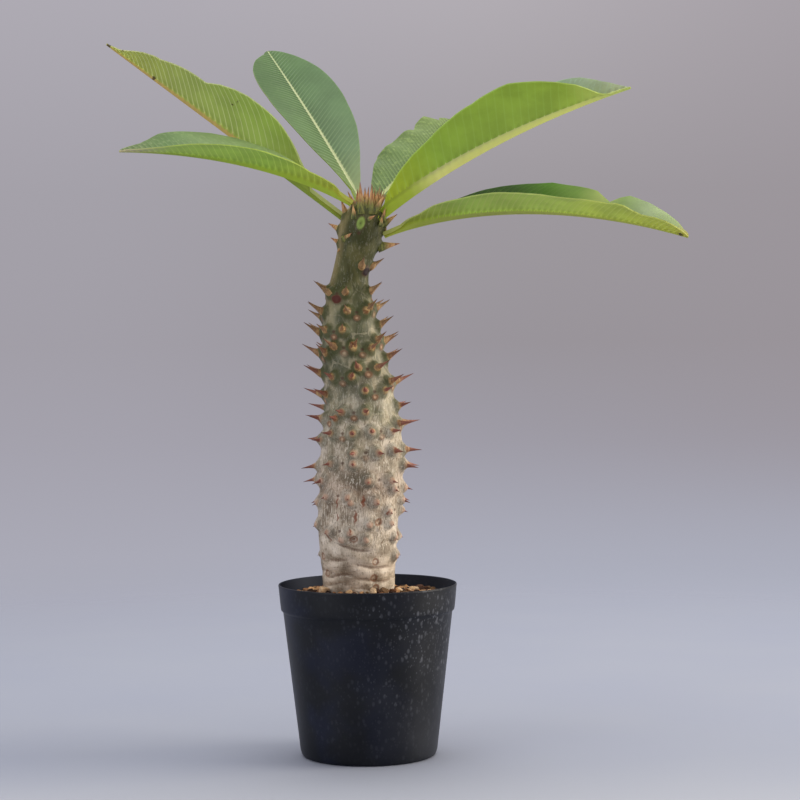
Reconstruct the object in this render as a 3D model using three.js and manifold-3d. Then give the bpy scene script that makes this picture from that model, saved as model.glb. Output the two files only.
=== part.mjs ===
// A young Pachypodium baronii in a black plastic nursery pot.
// The stem is a fat, spiny column that leans a little, with six long leaves round its tip.
// Millimetres, +Z up. The origin is the centre of the pot's underside, and -Y is the front.
import * as THREE from "three";
import Module from "manifold-3d";
import { mergeVertices } from "three/addons/utils/BufferGeometryUtils.js";

const wasm = await Module();
wasm.setup();

// Driving sizes
const CONTACT_GAP = 0.35;

const POT = {
  rimRadius: 52.5,
  height: 101,
  wall: 1.3,
  collarHeight: 15,
  collarRadius: 51.1,
  neckRadius: 49.9,
  baseRadius: 39.9,
  cornerRadius: 2.6,
  footInner: 31.5,
  footHeight: 1.8,
  hubRadius: 9,
  drainCount: 8,
  drainRadius: 3,
  drainCircle: 20.5,
  segments: 40,
};

const SOIL = {
  level: 93.5,
  crownRise: 2.2,
  grainCount: 74,
  grainRadius: [2.3, 4.1],
  segments: 36,
};

// The stem's centre line and radius: height, x, y, radius.
const STEM = [
  [60, -4.4, 0.4, 8.5],
  [72, -4.7, 0.4, 15.5],
  [86, -5.0, 0.3, 19.4],
  [99, -5.0, 0.2, 20.6],
  [115, -5.2, 0.0, 21.7],
  [138, -5.0, -0.3, 23.2],
  [156, -3.4, -0.3, 23.7],
  [172, -2.6, 0.0, 24.1],
  [187, -2.6, 0.4, 23.0],
  [203, -3.2, 0.8, 20.4],
  [221, -5.0, 1.0, 19.3],
  [235, -7.6, 0.9, 17.8],
  [248, -8.8, 0.6, 16.2],
  [262, -9.6, 0.2, 14.0],
  [274, -9.6, -0.2, 11.8],
  [285, -7.9, -0.4, 10.5],
  [297, -4.1, -0.3, 11.6],
  [308, -1.8, 0.0, 12.6],
  [317, 0.0, 0.3, 12.4],
  [323, 1.0, 0.5, 8.4],
];
const STEM_TIP = { height: 326, x: 1.2, y: 0.5 };
const STEM_SEGMENTS = 20;

// Creases at the stem's foot: height, degrees to the right of the front, half the span in degrees,
// rise in a full turn, and depth. The back has the same ones.
const CREASE_HALF_WIDTH = 2.4;
const CREASES = [
  [123.6, -8, 34, -27, 1.3],
  [126.5, 52, 24, 10, 0.7],
  [116.6, -36, 26, 20, 1.2],
  [118.6, 26, 30, -12, 0.6],
  [112.3, 32, 44, -14, 1.2],
  [109.0, -62, 30, 8, 0.8],
  [107.3, -34, 30, 8, 1.1],
  [104.4, 30, 46, -5, 1.2],
  [101.8, -40, 30, 6, 0.9],
  [98.6, 34, 50, -10, 1.0],
  [96.5, -24, 40, 4, 0.8],
];

// Paired spines stand on warts, one pair to a node, and the nodes follow a golden-angle spiral up the stem.
const NODES = {
  first: 117,
  last: 300,
  bareNeck: [276, 299],
  pitch: 2.5,
  divergence: 137.508,
  jitterDegrees: 7,
  jitterHeight: 1.3,
  clearance: 9.5,
};
const WARTS = {
  pairGap: [12.5, 9.0],
  radius: [4.4, 5.4],
  height: [3.4, 5.2],
  spineLength: [0.6, 7.8],
  spineRadius: [1.0, 1.5],
  sink: 2.6,
  sides: 4,
};

// The nodes whose place is known: height, degrees to the right of the front, and vigour, which scales
// the spines. A node without vigour has no warts.
const SHOWN_NODES = [
  [315, -4, 0],
  [287, 55, 0.7],
  [271, -29, 0.45],
  [260, 18, 0.45],
  [249, -32, 0.45],
  [238.5, 20, 0.45],
  [236, -66, 1],
  [222, -24, 0.45],
  [214, 28, 0.45],
  [202, -10, 0.45],
  [190, -28, 0.5],
  [191, 31, 0.5],
  [179, 6, 0.5],
  [180, 64, 1],
  [173, -27, 0.5],
  [163, 26, 0.5],
  [151, 5, 0.5],
  [154, -33, 0.5],
  [138, 33, 0.5],
  [129, -6, 0.5],
  [129, 82, 0.9],
  [273, -92, 0.9],
  [260, -86, 1.1],
  [248, -94, 1.1],
  [224, -92, 1.2],
  [212, -74, 1.1],
  [198, -90, 0.8],
  [186, -82, 0.6],
  [171, -98, 1.2],
  [163, -76, 1.2],
  [150, -86, 0.7],
  [137, -88, 0.7],
  [272, 90, 0.9],
  [262, 70, 0.8],
  [252, 98, 0.9],
  [243, 72, 0.9],
  [233, 96, 1],
  [219, 78, 1.2],
  [205, 98, 0.7],
  [195, 82, 1.1],
  [171, 90, 1.1],
  [158, 66, 0.6],
  [151, 92, 1.1],
  [145, 62, 0.8],
];

// The spines round the growing tip: foot, tip, and radius at the foot.
const CROWN_SPINES = [
  [[-1.5, -9.0, 319.0], [-2.2, -8.5, 336.1], 3.0],
  [[1.1, -9.0, 319.5], [3.0, -8.5, 333.5], 1.9],
  [[4.4, -9.0, 318.9], [4.7, -9.5, 334.6], 2.9],
  [[6.7, -7.5, 320.2], [7.9, -8.0, 331.2], 2.0],
  [[6.7, -9.5, 319.2], [12.2, -12.0, 328.5], 2.1],
  [[7.8, -1.0, 321.3], [10.5, -1.5, 331.9], 2.0],
  [[-4.6, -6.5, 320.3], [-9.5, -7.0, 330.8], 2.4],
  [[-3.6, -4.0, 321.1], [-3.8, -3.5, 332.5], 2.1],
  [[-9.8, -3.5, 315.3], [-13.4, -6.0, 326.0], 2.9],
  [[-5.7, -10.5, 315.5], [-6.4, -12.5, 322.6], 1.9],
  [[2.3, -11.5, 313.9], [6.7, -16.0, 316.0], 1.5],
  [[11.0, -8.5, 314.3], [12.4, -10.5, 320.8], 1.6],
  [[9.8, -9.5, 310.9], [10.4, -12.5, 316.1], 1.4],
  [[11.6, -3.0, 312.0], [19.5, -4.5, 317.3], 2.3],
  [[-12.8, 0.0, 308.0], [-21.1, -1.0, 312.5], 2.9],
  [[-13.2, -2.0, 300.3], [-19.8, -3.5, 304.0], 2.4],
  [[-11.0, -8.0, 303.1], [-7.3, -12.5, 306.1], 2.2],
  [[-13.5, -4.0, 298.4], [-16.0, -7.5, 295.1], 1.3],
  [[9.4, -1.0, 298.6], [20.8, -2.0, 300.3], 3.0],
  [[0.6, 0.6, 322.5], [0.6, 0.8, 333.5], 2.2],
  [[2.0, 8.8, 316.5], [2.4, 14.5, 326.5], 2.4],
  [[-5.6, 8.2, 315.5], [-9.2, 13.0, 325.0], 2.4],
  [[9.0, 6.2, 316.5], [14.4, 9.4, 326.0], 2.2],
  [[-10.8, 5.4, 303.0], [-15.6, 9.4, 309.0], 2.6],
  [[4.6, 10.2, 305.0], [8.0, 16.4, 310.5], 2.6],
  [[5.6, -5.0, 321.0], [6.6, -6.0, 333.6], 1.2],
  [[7.0, -4.0, 321.0], [9.6, -4.5, 334.2], 1.2],
  [[7.8, -4.5, 320.5], [12.2, -5.5, 331.5], 1.2],
  [[5.0, -3.0, 321.5], [4.8, -3.0, 335.0], 1.1],
  [[8.4, -2.5, 320.5], [13.4, -3.5, 329.5], 1.2],
];

const CROWN = { wartShare: 0.25, footShare: 0.8, waistShare: 0.62, sink: 3 };

// Six leaves. Angles are in degrees, each from the foot to the tip: heading is counted from +X towards +Y,
// rise is above level, roll lifts the blade's left edge as seen looking out along the leaf, and fold lifts
// both edges above the rib. stalk is the share of the length that is a bare stalk. trimLeft and trimRight
// are what each margin gains or loses: share of the length, millimetres.
const LEAVES = [
  {
    name: "leaf_far_left",
    foot: [-10.4, 4.6, 316.3],
    length: 178.5,
    halfWidth: 30,
    heading: [172, 171],
    rise: [36, 36.5],
    roll: [28, 18],
    fold: [44, 36],
    stalk: 0.26,
    baseTaper: 0.68,
    tipTaper: 1.1,
    wave: { depth: 1.6, count: 2.4, phase: 0.2 },
    trimLeft: [
      [0.15, 0], [0.2, -2.5], [0.225, -3.2], [0.3, -1.8], [0.375, 0.2], [0.475, 3.2], [0.525, 2.6],
      [0.575, 0], [0.625, -4.8], [0.65, -4.2], [0.7, -3.1], [0.8, -1], [0.825, 1], [0.865, 2.5],
      [0.9, 2.1], [0.95, -0.5], [1, 0],
    ],
    trimRight: [
      [0, 0], [0.45, 2], [0.62, -2], [0.8, 1], [1, 0],
    ],
  },
  {
    name: "leaf_low_left",
    foot: [-6, -7.6, 323],
    length: 141,
    halfWidth: 26,
    heading: [201, 195],
    rise: [28, -1.5],
    roll: [-8, -14.5],
    fold: [39, 27],
    stalk: 0.08,
    baseTaper: 0.97,
    tipTaper: 0.78,
    wave: { depth: 1, count: 2, phase: 0.6 },
    trimLeft: [
      [0.05, 0], [0.11, 1.2], [0.175, -0.9], [0.235, -3.3], [0.35, 0.2], [0.45, 3], [0.5, 2.9],
      [0.575, 0], [0.675, -3], [0.775, -2.2], [0.85, -1.6], [0.9, 0.4], [0.95, 0], [1, 0],
    ],
    trimRight: [
      [0, 0], [0.3, 1], [0.425, 2], [0.5, 5], [0.6, 5.6], [0.7, 3.1], [0.825, 0.5], [0.875, -3.4],
      [0.91, -4.5], [0.95, -2.5], [1, 0],
    ],
  },
  {
    name: "leaf_back_left",
    foot: [0, 5, 322],
    length: 163,
    halfWidth: 27,
    heading: [124.5, 116],
    rise: [48, 35],
    roll: [-6, -14],
    fold: [27, 11.5],
    stalk: 0.13,
    baseTaper: 0.96,
    tipTaper: 0.68,
    wave: { depth: 0.6, count: 2, phase: 0.1 },
    trimLeft: [
      [0, 0], [0.12, -0.5], [0.225, -3.2], [0.35, -3.7], [0.5, -4.9], [0.65, -5.4], [0.75, -3.5],
      [0.85, -1.4], [0.925, -1.3], [0.975, -3], [1, 0],
    ],
    trimRight: [
      [0, 0], [0.12, 1], [0.2, -0.3], [0.4, -0.1], [0.525, -1.5], [0.65, -1.4], [0.8, -0.3],
      [0.95, -1], [1, 0],
    ],
  },
  {
    name: "leaf_back_right",
    foot: [2.8, 5, 321.7],
    length: 122,
    halfWidth: 21.7,
    heading: [54, 68],
    rise: [31.8, 28.5],
    roll: [6, 11],
    fold: [23.6, 17.7],
    stalk: 0.1,
    baseTaper: 0.64,
    tipTaper: 0.47,
    wave: { depth: 1.2, count: 5, phase: 0.35 },
    trimLeft: [
      [0, 0], [0.175, -1.1], [0.3, 0], [0.44, 2.1], [0.5, 0.1], [0.55, -0.6], [0.62, -0.3],
      [0.7, -2.2], [0.75, -3.3], [0.775, -4.6], [0.8, -2.9], [0.84, -0.5], [0.9, 0.8], [0.925, 1.6],
      [0.94, -3], [0.95, -6.4], [0.975, -1.3], [1, 0],
    ],
    trimRight: [
      [0, 0], [0.3, 0.5], [0.5, 1.5], [0.62, -2], [0.7, 1], [0.85, 1], [1, 0],
    ],
  },
  {
    name: "leaf_high_right",
    foot: [8.4, -6.8, 315],
    length: 167,
    halfWidth: 33,
    heading: [-15.5, -25.5],
    rise: [37.5, 13.5],
    roll: [-32, 22],
    fold: [62, 56],
    stalk: 0.02,
    baseTaper: 1.22,
    tipTaper: 1.04,
    wave: { depth: 1, count: 1.6, phase: 0.5 },
    trimLeft: [
      [0, 0], [0.4, 2], [0.7, 3], [0.75, 2.2], [0.825, 0.4], [0.85, -0.9], [0.9, -2.4],
      [0.95, -1.8], [1, 0],
    ],
    trimRight: [
      [0, 0], [0.075, 3], [0.15, 1.8], [0.225, -0.4], [0.3, -3], [0.4, -4.3], [0.5, -3.9],
      [0.575, -0.6], [0.65, 3.7], [0.75, 4.8], [0.8, 4.2], [0.85, 2], [0.875, -2.3], [0.9, -8.4],
      [0.925, -9.2], [0.95, -6.3], [0.975, -2.7], [1, 0],
    ],
  },
  {
    name: "leaf_low_right",
    foot: [11, -1.8, 307.2],
    length: 181,
    halfWidth: 29,
    heading: [-14.5, -14.5],
    rise: [17.7, -18.4],
    roll: [8, 8],
    fold: [40.5, 32.5],
    stalk: 0.09,
    baseTaper: 0.8,
    tipTaper: 0.6,
    wave: { depth: 1.4, count: 2.6, phase: 0.15 },
    trimLeft: [
      [0, 0], [0.25, -0.4], [0.35, 1.1], [0.45, 5.6], [0.525, 7.1], [0.575, 3.4], [0.65, -1.1],
      [0.675, -2.7], [0.7, -7.7], [0.725, -11.9], [0.75, -3.3], [0.775, 2.7], [0.84, 5.1],
      [0.9, 3.9], [0.95, 0.2], [0.975, -2.1], [1, 0],
    ],
    trimRight: [
      [0.05, 0], [0.1, 0.2], [0.14, -0.8], [0.2, 2.6], [0.25, 3.4], [0.325, 2.1], [0.375, -0.1],
      [0.45, -2.7], [0.5, -2], [0.55, 0.1], [0.675, 0.3], [0.75, -3.3], [0.775, -0.8], [0.8, -1.5],
      [0.825, -5.8], [0.85, -7.3], [0.875, -3.8], [0.9, 0.9], [0.93, 4.6], [0.95, 4.6],
      [0.975, 2.5], [1, 0],
    ],
  },
];
const LEAF = {
  steps: 60,
  stepsPerStation: 3,
  bladeThickness: 0.9,
  stalkHalfWidth: 2.5,
  stalkThickness: 4.0,
  ribHalfWidth: [2.3, 0.7],
  ribDepth: [4.0, 1.0],
};

const MATERIALS = {
  pot: new THREE.MeshStandardMaterial({ color: 0x202226, roughness: 0.5 }),
  soil: new THREE.MeshStandardMaterial({ color: 0x9a6238, roughness: 0.95 }),
  stem: new THREE.MeshStandardMaterial({ color: 0x8f8c78, roughness: 0.8 }),
  leaf: new THREE.MeshStandardMaterial({ color: 0x6f9440, roughness: 0.45 }),
};

// Small maths

const radians = (degrees) => (degrees * Math.PI) / 180;
const mix = (a, b, t) => a + (b - a) * t;
const clamp01 = (t) => Math.min(1, Math.max(0, t));
const smooth = (low, high, value) => {
  const t = clamp01((value - low) / (high - low));
  return t * t * (3 - 2 * t);
};

// A repeatable random number generator, from 0 to 1.
function seededRandom(seed) {
  let state = seed;
  return () => {
    state = (state * 1664525 + 1013904223) % 4294967296;
    return state / 4294967296;
  };
}

// Solids and geometries

function solidOf(geometry) {
  const bare = geometry.clone();
  bare.deleteAttribute("normal");
  bare.deleteAttribute("uv");
  const merged = mergeVertices(bare, 1e-3);
  const mesh = new wasm.Mesh({
    numProp: 3,
    vertProperties: merged.attributes.position.array,
    triVerts: new Uint32Array(merged.index.array),
  });
  return new wasm.Manifold(mesh);
}

// The largest body of a solid, as a geometry with flat-shaded faces.
function geometryOf(solid) {
  const bodies = solid.decompose();
  const largest = bodies.reduce((a, b) => (b.volume() > a.volume() ? b : a));
  const mesh = largest.getMesh();
  const geometry = new THREE.BufferGeometry();
  geometry.setAttribute("position", new THREE.BufferAttribute(mesh.vertProperties, 3));
  geometry.setIndex(new THREE.BufferAttribute(mesh.triVerts, 1));
  const flat = geometry.toNonIndexed();
  flat.computeVertexNormals();
  return flat;
}

function geometryFrom(points, triangles) {
  const geometry = new THREE.BufferGeometry();
  const places = new Float32Array(points.flatMap((p) => [p.x, p.y, p.z]));
  geometry.setAttribute("position", new THREE.BufferAttribute(places, 3));
  geometry.setIndex(triangles);
  return geometry;
}

// Closes a stack of equal rings with a fan to a point at each end.
// The rings run anticlockwise as seen from the last one.
function ringStack(rings, firstPoint, lastPoint) {
  const count = rings[0].length;
  const points = [firstPoint, ...rings.flat(), lastPoint];
  const triangles = [];
  const at = (ring, k) => 1 + ring * count + (k % count);
  for (let k = 0; k < count; k++) triangles.push(0, at(0, k + 1), at(0, k));
  for (let ring = 0; ring + 1 < rings.length; ring++) {
    for (let k = 0; k < count; k++) {
      const [a, b, c, d] = [at(ring, k), at(ring, k + 1), at(ring + 1, k + 1), at(ring + 1, k)];
      triangles.push(a, b, c, a, c, d);
    }
  }
  const top = rings.length - 1;
  const end = points.length - 1;
  for (let k = 0; k < count; k++) triangles.push(at(top, k), at(top, k + 1), end);
  return geometryFrom(points, triangles);
}

// A lathe's profile is [radius, height] pairs from the axis, out and back to the axis, turned about +Z.
function lathe(profile, segments) {
  const outline = profile.map(([radius, height]) => new THREE.Vector2(radius, height));
  return new THREE.LatheGeometry(outline, segments).rotateX(Math.PI / 2);
}

// Pot

function potWallRadius(height) {
  return mix(POT.baseRadius, POT.neckRadius, height / (POT.height - POT.collarHeight));
}

function potSolid() {
  const { rimRadius, height, wall, collarHeight, collarRadius, cornerRadius } = POT;
  const neck = height - collarHeight;
  const floor = POT.footHeight + wall;
  const profile = [
    [0, 0],
    [POT.hubRadius, 0],
    [POT.hubRadius + 1.2, POT.footHeight],
    [POT.footInner - 1.2, POT.footHeight],
    [POT.footInner, 0],
    [potWallRadius(0) - cornerRadius, 0],
    [potWallRadius(0) - cornerRadius * 0.3, cornerRadius * 0.3],
    [potWallRadius(cornerRadius), cornerRadius],
    [potWallRadius(neck - 1), neck - 1],
    [collarRadius, neck],
    [rimRadius, height - 0.6],
    [rimRadius - 0.5, height],
    [rimRadius - wall, height - 0.3],
    [collarRadius - wall, neck + 1],
    [potWallRadius(neck - 2) - wall, neck - 2],
    [potWallRadius(floor + 2) - wall, floor + 2],
    [potWallRadius(floor) - wall - 2, floor],
    [POT.hubRadius - 0.4, floor],
    [0, floor],
  ];
  const holeHeight = 12;
  const drain = new THREE.CylinderGeometry(POT.drainRadius, POT.drainRadius, holeHeight, 12);
  let pot = solidOf(lathe(profile, POT.segments));
  for (let k = 0; k < POT.drainCount; k++) {
    const angle = ((k + 0.5) * 2 * Math.PI) / POT.drainCount;
    const hole = drain.clone().rotateX(Math.PI / 2);
    hole.translate(POT.drainCircle * Math.cos(angle), POT.drainCircle * Math.sin(angle), 0);
    pot = pot.subtract(solidOf(hole));
  }
  return pot;
}

// Stem

// The stem's centre and radius at a height, with the radius on a smooth cubic through the driving rows.
function stemAt(height) {
  let row = 0;
  while (row < STEM.length - 2 && STEM[row + 1][0] < height) row++;
  const [low, high] = [STEM[row], STEM[row + 1]];
  const before = STEM[Math.max(0, row - 1)];
  const after = STEM[Math.min(STEM.length - 1, row + 2)];
  const t = clamp01((height - low[0]) / (high[0] - low[0]));
  const span = high[0] - low[0];
  const value = (k) => {
    const slopeLow = ((high[k] - before[k]) / (high[0] - before[0])) * span;
    const slopeHigh = ((after[k] - low[k]) / (after[0] - low[0])) * span;
    const h00 = 2 * t ** 3 - 3 * t ** 2 + 1;
    const h10 = t ** 3 - 2 * t ** 2 + t;
    const h01 = 3 * t ** 2 - 2 * t ** 3;
    const h11 = t ** 3 - t ** 2;
    return h00 * low[k] + h10 * slopeLow + h01 * high[k] + h11 * slopeHigh;
  };
  return { x: value(1), y: value(2), radius: value(3) };
}

// The turn from b to a, between minus and plus half a turn.
const turnBetween = (a, b) => Math.atan2(Math.sin(a - b), Math.cos(a - b));

function creaseDepth(height, azimuth) {
  let sum = 0;
  for (const [level, degrees, span, slope, depth] of CREASES) {
    for (const halfTurn of [0, Math.PI]) {
      const turn = turnBetween(azimuth, radians(degrees - 90) + halfTurn);
      const ends = 1 - smooth(0.35, 1.3, Math.abs(turn) / radians(span));
      const off = (height - level - (slope * turn) / (2 * Math.PI)) / CREASE_HALF_WIDTH;
      sum += depth * ends * Math.exp(-off * off);
    }
  }
  return sum;
}

function stemPoint(height, azimuth, grow = 0) {
  const { x, y, radius } = stemAt(height);
  const oval = 1 + 0.02 * Math.sin(2 * azimuth + 0.8) + 0.012 * Math.sin(3 * azimuth + height / 30);
  const reach = radius * oval - creaseDepth(height, azimuth) + grow;
  return new THREE.Vector3(x + reach * Math.cos(azimuth), y + reach * Math.sin(azimuth), height);
}

function stemSkin(grow) {
  const heights = [];
  const [bottom, creasesEnd, top] = [STEM[0][0], 131, STEM.at(-1)[0]];
  for (let h = bottom; h < 92; h += 8) heights.push(h);
  for (let h = 94; h < creasesEnd; h += 2.5) heights.push(h);
  for (let h = creasesEnd; h < top - 4; h += 7) heights.push(h);
  heights.push(top - 3, top);
  const rings = heights.map((height) => {
    const lift = height === bottom ? -grow : height === top ? grow : 0;
    return Array.from({ length: STEM_SEGMENTS }, (_, k) => {
      const point = stemPoint(height, (k * 2 * Math.PI) / STEM_SEGMENTS, grow);
      return point.setZ(height + lift);
    });
  });
  const foot = stemAt(bottom);
  const below = new THREE.Vector3(foot.x, foot.y, bottom - 3 - grow);
  const above = new THREE.Vector3(STEM_TIP.x, STEM_TIP.y, STEM_TIP.height + grow);
  return ringStack(rings, below, above);
}

// A wart that narrows into one spine, from a root sunk in the stem to a sharp tip.
function spineOnWart({ root, axis, wartRadius, wartHeight, spineRadius, spineLength, sink, bend }) {
  const side = new THREE.Vector3(0, 0, 1).cross(axis).normalize();
  const over = axis.clone().cross(side);
  const ring = (along, radius, turn) =>
    Array.from({ length: WARTS.sides }, (_, k) => {
      const angle = turn + (k * 2 * Math.PI) / WARTS.sides;
      return root
        .clone()
        .addScaledVector(axis, along)
        .addScaledVector(side, radius * Math.cos(angle))
        .addScaledVector(over, radius * Math.sin(angle));
    });
  const foot = root.clone().addScaledVector(axis, -sink);
  const tip = root
    .clone()
    .addScaledVector(axis, wartHeight + spineLength)
    .add(new THREE.Vector3(0, 0, bend));
  const rings = [ring(-sink + 0.5, wartRadius * 1.15, 0), ring(wartHeight, spineRadius, 0)];
  return ringStack(rings, foot, tip);
}

function directionOf(azimuth, rise) {
  return new THREE.Vector3(
    Math.cos(rise) * Math.cos(azimuth),
    Math.cos(rise) * Math.sin(azimuth),
    Math.sin(rise),
  );
}

// How far a spine leans above level: upwards near the tip, level half way, a little down at the foot.
const spineRise = (height) => radians(mix(-14, 24, smooth(140, 250, height)));

// The nodes of the spiral, with the nearest one moved to each place in SHOWN_NODES.
function stemNodes() {
  const random = seededRandom(7);
  const spiral = [];
  for (let k = 0; NODES.first + k * NODES.pitch < NODES.last; k++) {
    const turn = k * NODES.divergence + (random() - 0.5) * 2 * NODES.jitterDegrees;
    const lift = (random() - 0.5) * 2 * NODES.jitterHeight;
    const height = NODES.first + k * NODES.pitch + lift;
    spiral.push({ height, azimuth: radians(turn), vigour: 0.8 + 0.4 * random() });
  }
  const moved = SHOWN_NODES.map(([height, degrees, vigour]) => {
    const place = { height, azimuth: radians(degrees - 90), vigour };
    const distances = spiral.map((node) => distanceRound(node, place));
    const [nearest] = spiral.splice(distances.indexOf(Math.min(...distances)), 1);
    return { ...nearest, ...place };
  });
  const [bareFrom, bareTo] = NODES.bareNeck;
  const kept = spiral.filter(
    (node) =>
      (node.height < bareFrom || node.height > bareTo) &&
      moved.every((place) => distanceRound(node, place) > NODES.clearance),
  );
  return [...moved, ...kept].filter((node) => node.vigour > 0);
}

// The distance between two nodes over the bark.
function distanceRound(a, b) {
  const across = stemAt(b.height).radius * turnBetween(a.azimuth, b.azimuth);
  return Math.hypot(a.height - b.height, across);
}

function pairAt({ height, azimuth, vigour }) {
  const { radius } = stemAt(height);
  const half = mix(...WARTS.pairGap, smooth(150, 270, height)) / 2 / radius;
  const grown = smooth(115, 175, height);
  const spiny = smooth(125, 195, height);
  const slim = Math.min(1, radius / 14);
  return [-1, 1].map((sign) => {
    const around = azimuth + sign * half;
    return {
      root: stemPoint(height, around),
      axis: directionOf(around + sign * 0.28, spineRise(height)),
      wartRadius: mix(...WARTS.radius, grown) * slim,
      wartHeight: mix(...WARTS.height, grown) * slim,
      spineRadius: mix(...WARTS.spineRadius, spiny),
      spineLength: mix(...WARTS.spineLength, spiny) * vigour,
      sink: WARTS.sink,
      bend: mix(-0.6, 1.2, smooth(150, 230, height)),
    };
  });
}

function crownSpine([foot, tip, radius]) {
  const root = new THREE.Vector3(...foot);
  const axis = new THREE.Vector3(...tip).sub(root);
  const reach = axis.length();
  const wartHeight = CROWN.wartShare * reach;
  return {
    root,
    axis: axis.normalize(),
    wartRadius: CROWN.footShare * radius,
    wartHeight,
    spineRadius: CROWN.waistShare * radius,
    spineLength: reach - wartHeight,
    sink: CROWN.sink,
    bend: 0,
  };
}

// Leaves

// The leaf's middle line, with its left-hand side and its upper face at each step.
function leafLine(leaf) {
  const line = [];
  const place = new THREE.Vector3(...leaf.foot);
  for (let k = 0; k <= LEAF.steps; k++) {
    const s = k / LEAF.steps;
    const heading = radians(mix(...leaf.heading, s));
    const tangent = directionOf(heading, radians(mix(...leaf.rise, Math.pow(s, 0.8))));
    const side = new THREE.Vector3(0, 0, 1).cross(tangent).normalize();
    const upper = tangent.clone().cross(side);
    const roll = radians(mix(...leaf.roll, s));
    const left = side.clone().multiplyScalar(Math.cos(roll)).addScaledVector(upper, Math.sin(roll));
    const face = upper.multiplyScalar(Math.cos(roll)).addScaledVector(side, -Math.sin(roll));
    line.push({ s, place: place.clone(), left, face });
    place.addScaledVector(tangent, leaf.length / LEAF.steps);
  }
  return line;
}

// A value between rows of [share, value], which run from foot to tip.
function between(rows, share) {
  const next = rows.findIndex(([at]) => at >= share);
  if (next <= 0) return rows.at(next)[1];
  const [[low, from], [high, to]] = [rows[next - 1], rows[next]];
  return mix(from, to, (share - low) / (high - low));
}

// From the rib to one margin: a narrow stalk, the widest place past half way, then a pointed tip,
// with what the margin gains or loses.
function leafHalfWidth(leaf, s, trim) {
  const { stalk: share, baseTaper, tipTaper } = leaf;
  const u = clamp01((s - share * 0.55) / (1 - share * 0.55));
  const widest = baseTaper / (baseTaper + tipTaper);
  const spread = (at) => Math.pow(at, baseTaper) * Math.pow(1 - at, tipTaper);
  const blade = (leaf.halfWidth * spread(u)) / spread(widest);
  const stalk = LEAF.stalkHalfWidth * (1 - smooth(0.7, 1, s));
  return Math.max(Math.max(blade, stalk) + between(trim, s), 0.5);
}

// A point of the blade. offset is the distance from the rib, positive to the left, t is its share of the
// way to the margin, and depth goes down from the upper face.
function leafPoint(leaf, station, offset, t, depth) {
  const { s, place, left, face } = station;
  const fold = radians(mix(...leaf.fold, s)) * (1 - 0.3 * t) * smooth(0, leaf.stalk, s);
  const { depth: waveDepth, count, phase } = leaf.wave;
  const turn = 2 * Math.PI * (count * s + phase) + (offset > 0 ? 1.9 : 0);
  const wave = waveDepth * t * t * Math.sin(turn) * smooth(0.15, 0.4, s) * (1 - smooth(0.9, 1, s));
  return place
    .clone()
    .addScaledVector(left, offset * Math.cos(fold))
    .addScaledVector(face, Math.abs(offset) * Math.sin(fold) + wave - depth);
}

function leafDepth(leaf, s, offset, ribHalf) {
  const { stalkThickness, bladeThickness } = LEAF;
  const edge = mix(stalkThickness * 0.55, bladeThickness, smooth(0.3, 1.3, s / leaf.stalk));
  const rib = mix(...LEAF.ribDepth, Math.pow(s, 0.7));
  const near = clamp01(1 - (offset / (ribHalf * 1.25)) ** 2);
  return mix(edge, Math.max(edge, rib), near);
}

function leafGeometry(leaf) {
  const line = leafLine(leaf).filter((_, k) => k % LEAF.stepsPerStation === 0);
  const rings = line.map((station) => {
    const { s } = station;
    const right = leafHalfWidth(leaf, s, leaf.trimRight);
    const left = leafHalfWidth(leaf, s, leaf.trimLeft);
    const rib = Math.min(mix(...LEAF.ribHalfWidth, s), Math.min(left, right) * 0.45);
    const offsets = [-right, -(right + rib) / 2, -rib, 0, rib, (left + rib) / 2, left];
    const point = (offset, depth) => {
      const t = Math.abs(offset) / (offset < 0 ? right : left);
      return leafPoint(leaf, station, offset, t, depth);
    };
    const under = offsets.map((offset) => point(offset, leafDepth(leaf, s, offset, rib)));
    const over = offsets.map((offset) => point(offset, 0)).reverse();
    return [...under, ...over];
  });
  return leafShell(rings);
}

// Joins the stations' rings, with the same diagonals on the upper and the under face.
function leafShell(rings) {
  const count = rings[0].length;
  const columns = count / 2;
  const points = rings.flat();
  const triangles = [];
  const at = (ring, k) => ring * count + (k % count);
  for (let ring = 0; ring + 1 < rings.length; ring++) {
    for (let k = 0; k < count; k++) {
      const [a, b, c, d] = [at(ring, k), at(ring, k + 1), at(ring + 1, k + 1), at(ring + 1, k)];
      const underFace = k < columns;
      if (underFace) triangles.push(a, b, d, b, c, d);
      else triangles.push(a, b, c, a, c, d);
    }
  }
  const cap = (ring, outward) => {
    for (let k = 0; k + 1 < columns; k++) {
      const [a, b] = [at(ring, k), at(ring, k + 1)];
      const [c, d] = [at(ring, count - 2 - k), at(ring, count - 1 - k)];
      if (outward) triangles.push(a, b, c, a, c, d);
      else triangles.push(a, c, b, a, d, c);
    }
  };
  cap(0, false);
  cap(rings.length - 1, true);
  return geometryFrom(points, triangles);
}

// True where a spine would pass through, or within a hair of, a leaf's stalk.
function fouls(spine, lines) {
  const tip = spine.root.clone().addScaledVector(spine.axis, spine.wartHeight + spine.spineLength);
  const segment = new THREE.Line3(spine.root, tip);
  const nearest = new THREE.Vector3();
  return lines.some((line) =>
    line.slice(0, 14).some(({ place, face }) => {
      const middle = place.clone().addScaledVector(face, -1.5);
      segment.closestPointToPoint(middle, true, nearest);
      return nearest.distanceTo(middle) < 4.6;
    }),
  );
}

// Soil

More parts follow.
